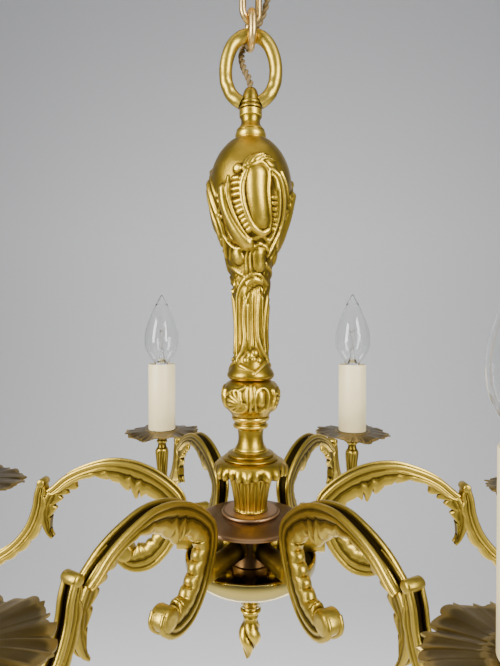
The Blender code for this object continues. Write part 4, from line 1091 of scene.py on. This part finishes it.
# ----------------------------------------------------------------------- bulbs
# Clear candle bulbs: a thin blown envelope, with a glass foot inside it that carries two
# lead wires and a coiled filament.
CLEAR, clear_shader = new_finish("clear_glass", (0.985, 0.99, 0.985), 0.0, 0.0)
clear_shader.inputs["Transmission Weight"].default_value = 1.0
clear_shader.inputs["IOR"].default_value = 1.46
clear_nodes, clear_links = nodes_of(CLEAR)
ripple = clear_nodes.new("ShaderNodeTexNoise")
ripple.inputs["Scale"].default_value = 40.0
glass_place = clear_nodes.new("ShaderNodeTexCoord")
clear_links.new(glass_place.outputs["Object"], ripple.inputs["Vector"])
sway = clear_nodes.new("ShaderNodeBump")
sway.inputs["Strength"].default_value = 0.15
sway.inputs["Distance"].default_value = 0.0002
clear_links.new(ripple.outputs["Fac"], sway.inputs["Height"])
clear_links.new(sway.outputs["Normal"], clear_shader.inputs["Normal"])
LEAD = grained("lead_wire", (0.55, 0.50, 0.42), (0.35, 0.31, 0.26), 0.35, 1.0)

GLASS_FOOT = 65.9        # level of the glass over the pan, in millimetres
bulb_rows = [(6.4, 0.0), (6.6, 1.2), (8.6, 3.8), (11.4, 7.4), (14.2, 12.0), (16.2, 17.4),
             (16.9, 23.0), (16.7, 29.0), (15.4, 36.0), (13.2, 43.0), (10.4, 50.0), (7.6, 56.4),
             (5.0, 61.6), (3.0, 65.4), (1.6, 67.8), (0.7, 69.1), (0.0, 69.45)]
bulb_out = profile(bulb_rows, 4)
bulb_in = [(max(r - 0.55, 0.0), z - (0.7 if z > 60 else 0.0)) for r, z in bulb_out[:-4]]
bulb_in[0] = (5.85, 0.0)
glass_outline = [(r, z + GLASS_FOOT)
                 for r, z in bulb_out + [(0.0, 68.6)] + list(reversed(bulb_in))]
glass_mesh = spun("envelope", glass_outline, 0.0, 96)
glass_foot_mesh = spun("foot", [(r, z + GLASS_FOOT) for r, z in profile([
    (0, 0.2), (5.4, 0.2), (5.4, 0.2), (4.8, 2.2), (3.2, 5.6), (2.2, 9.6), (1.7, 13.6),
    (1.5, 16.8), (0.9, 18.0), (0, 18.4)], 4)], 0.0, 40)


def lead_wires():
    """Two leads from the foot up to a coiled filament hung between them."""
    left = [Vector(p) * MM for p in ((-1.0, 0, 80.9), (-1.6, 0, 85.0), (-3.6, 0, 90.5),
                                     (-5.2, 0.4, 96.6), (-5.4, 0.6, 100.6))]
    right = [Vector((-p.x, -p.y, p.z)) for p in left]
    middle = [Vector(p) * MM for p in ((0, 0, 83.6), (0, 0, 90.0), (0.0, 2.2, 97.0))]
    coil = []
    for k in range(241):
        sag = math.sin(math.pi * k / 240)
        place = Vector((-5.4 + 10.8 * k / 240, 0.6 - 1.2 * k / 240 + 1.6 * sag, 100.6 - 2.6 * sag))
        coil.append(place * MM + Vector((0, math.cos(k * 1.1), math.sin(k * 1.1))) * 0.30 * MM)
    lines = [smooth_line(line, 5) for line in (left, right, middle)] + [coil]
    return wire_mesh("leads", lines, 0.00016, 2)


lead_mesh = lead_wires()
for i in range(6):
    place_piece(f"glass_envelope_{i + 1}", set_round(glass_mesh, i), CLEAR, "bulb_glass",
                f"bulb_glass_{i + 1}", body=f"bulb_{i + 1}")
    place_piece(f"glass_foot_{i + 1}", set_round(glass_foot_mesh, i), CLEAR, "bulb_glass",
                body=f"bulb_{i + 1}")
    place_piece(f"lead_wires_{i + 1}", set_round(lead_mesh, i), LEAD, "holder_brass",
                body=f"bulb_{i + 1}")

bpy.context.view_layer.update()
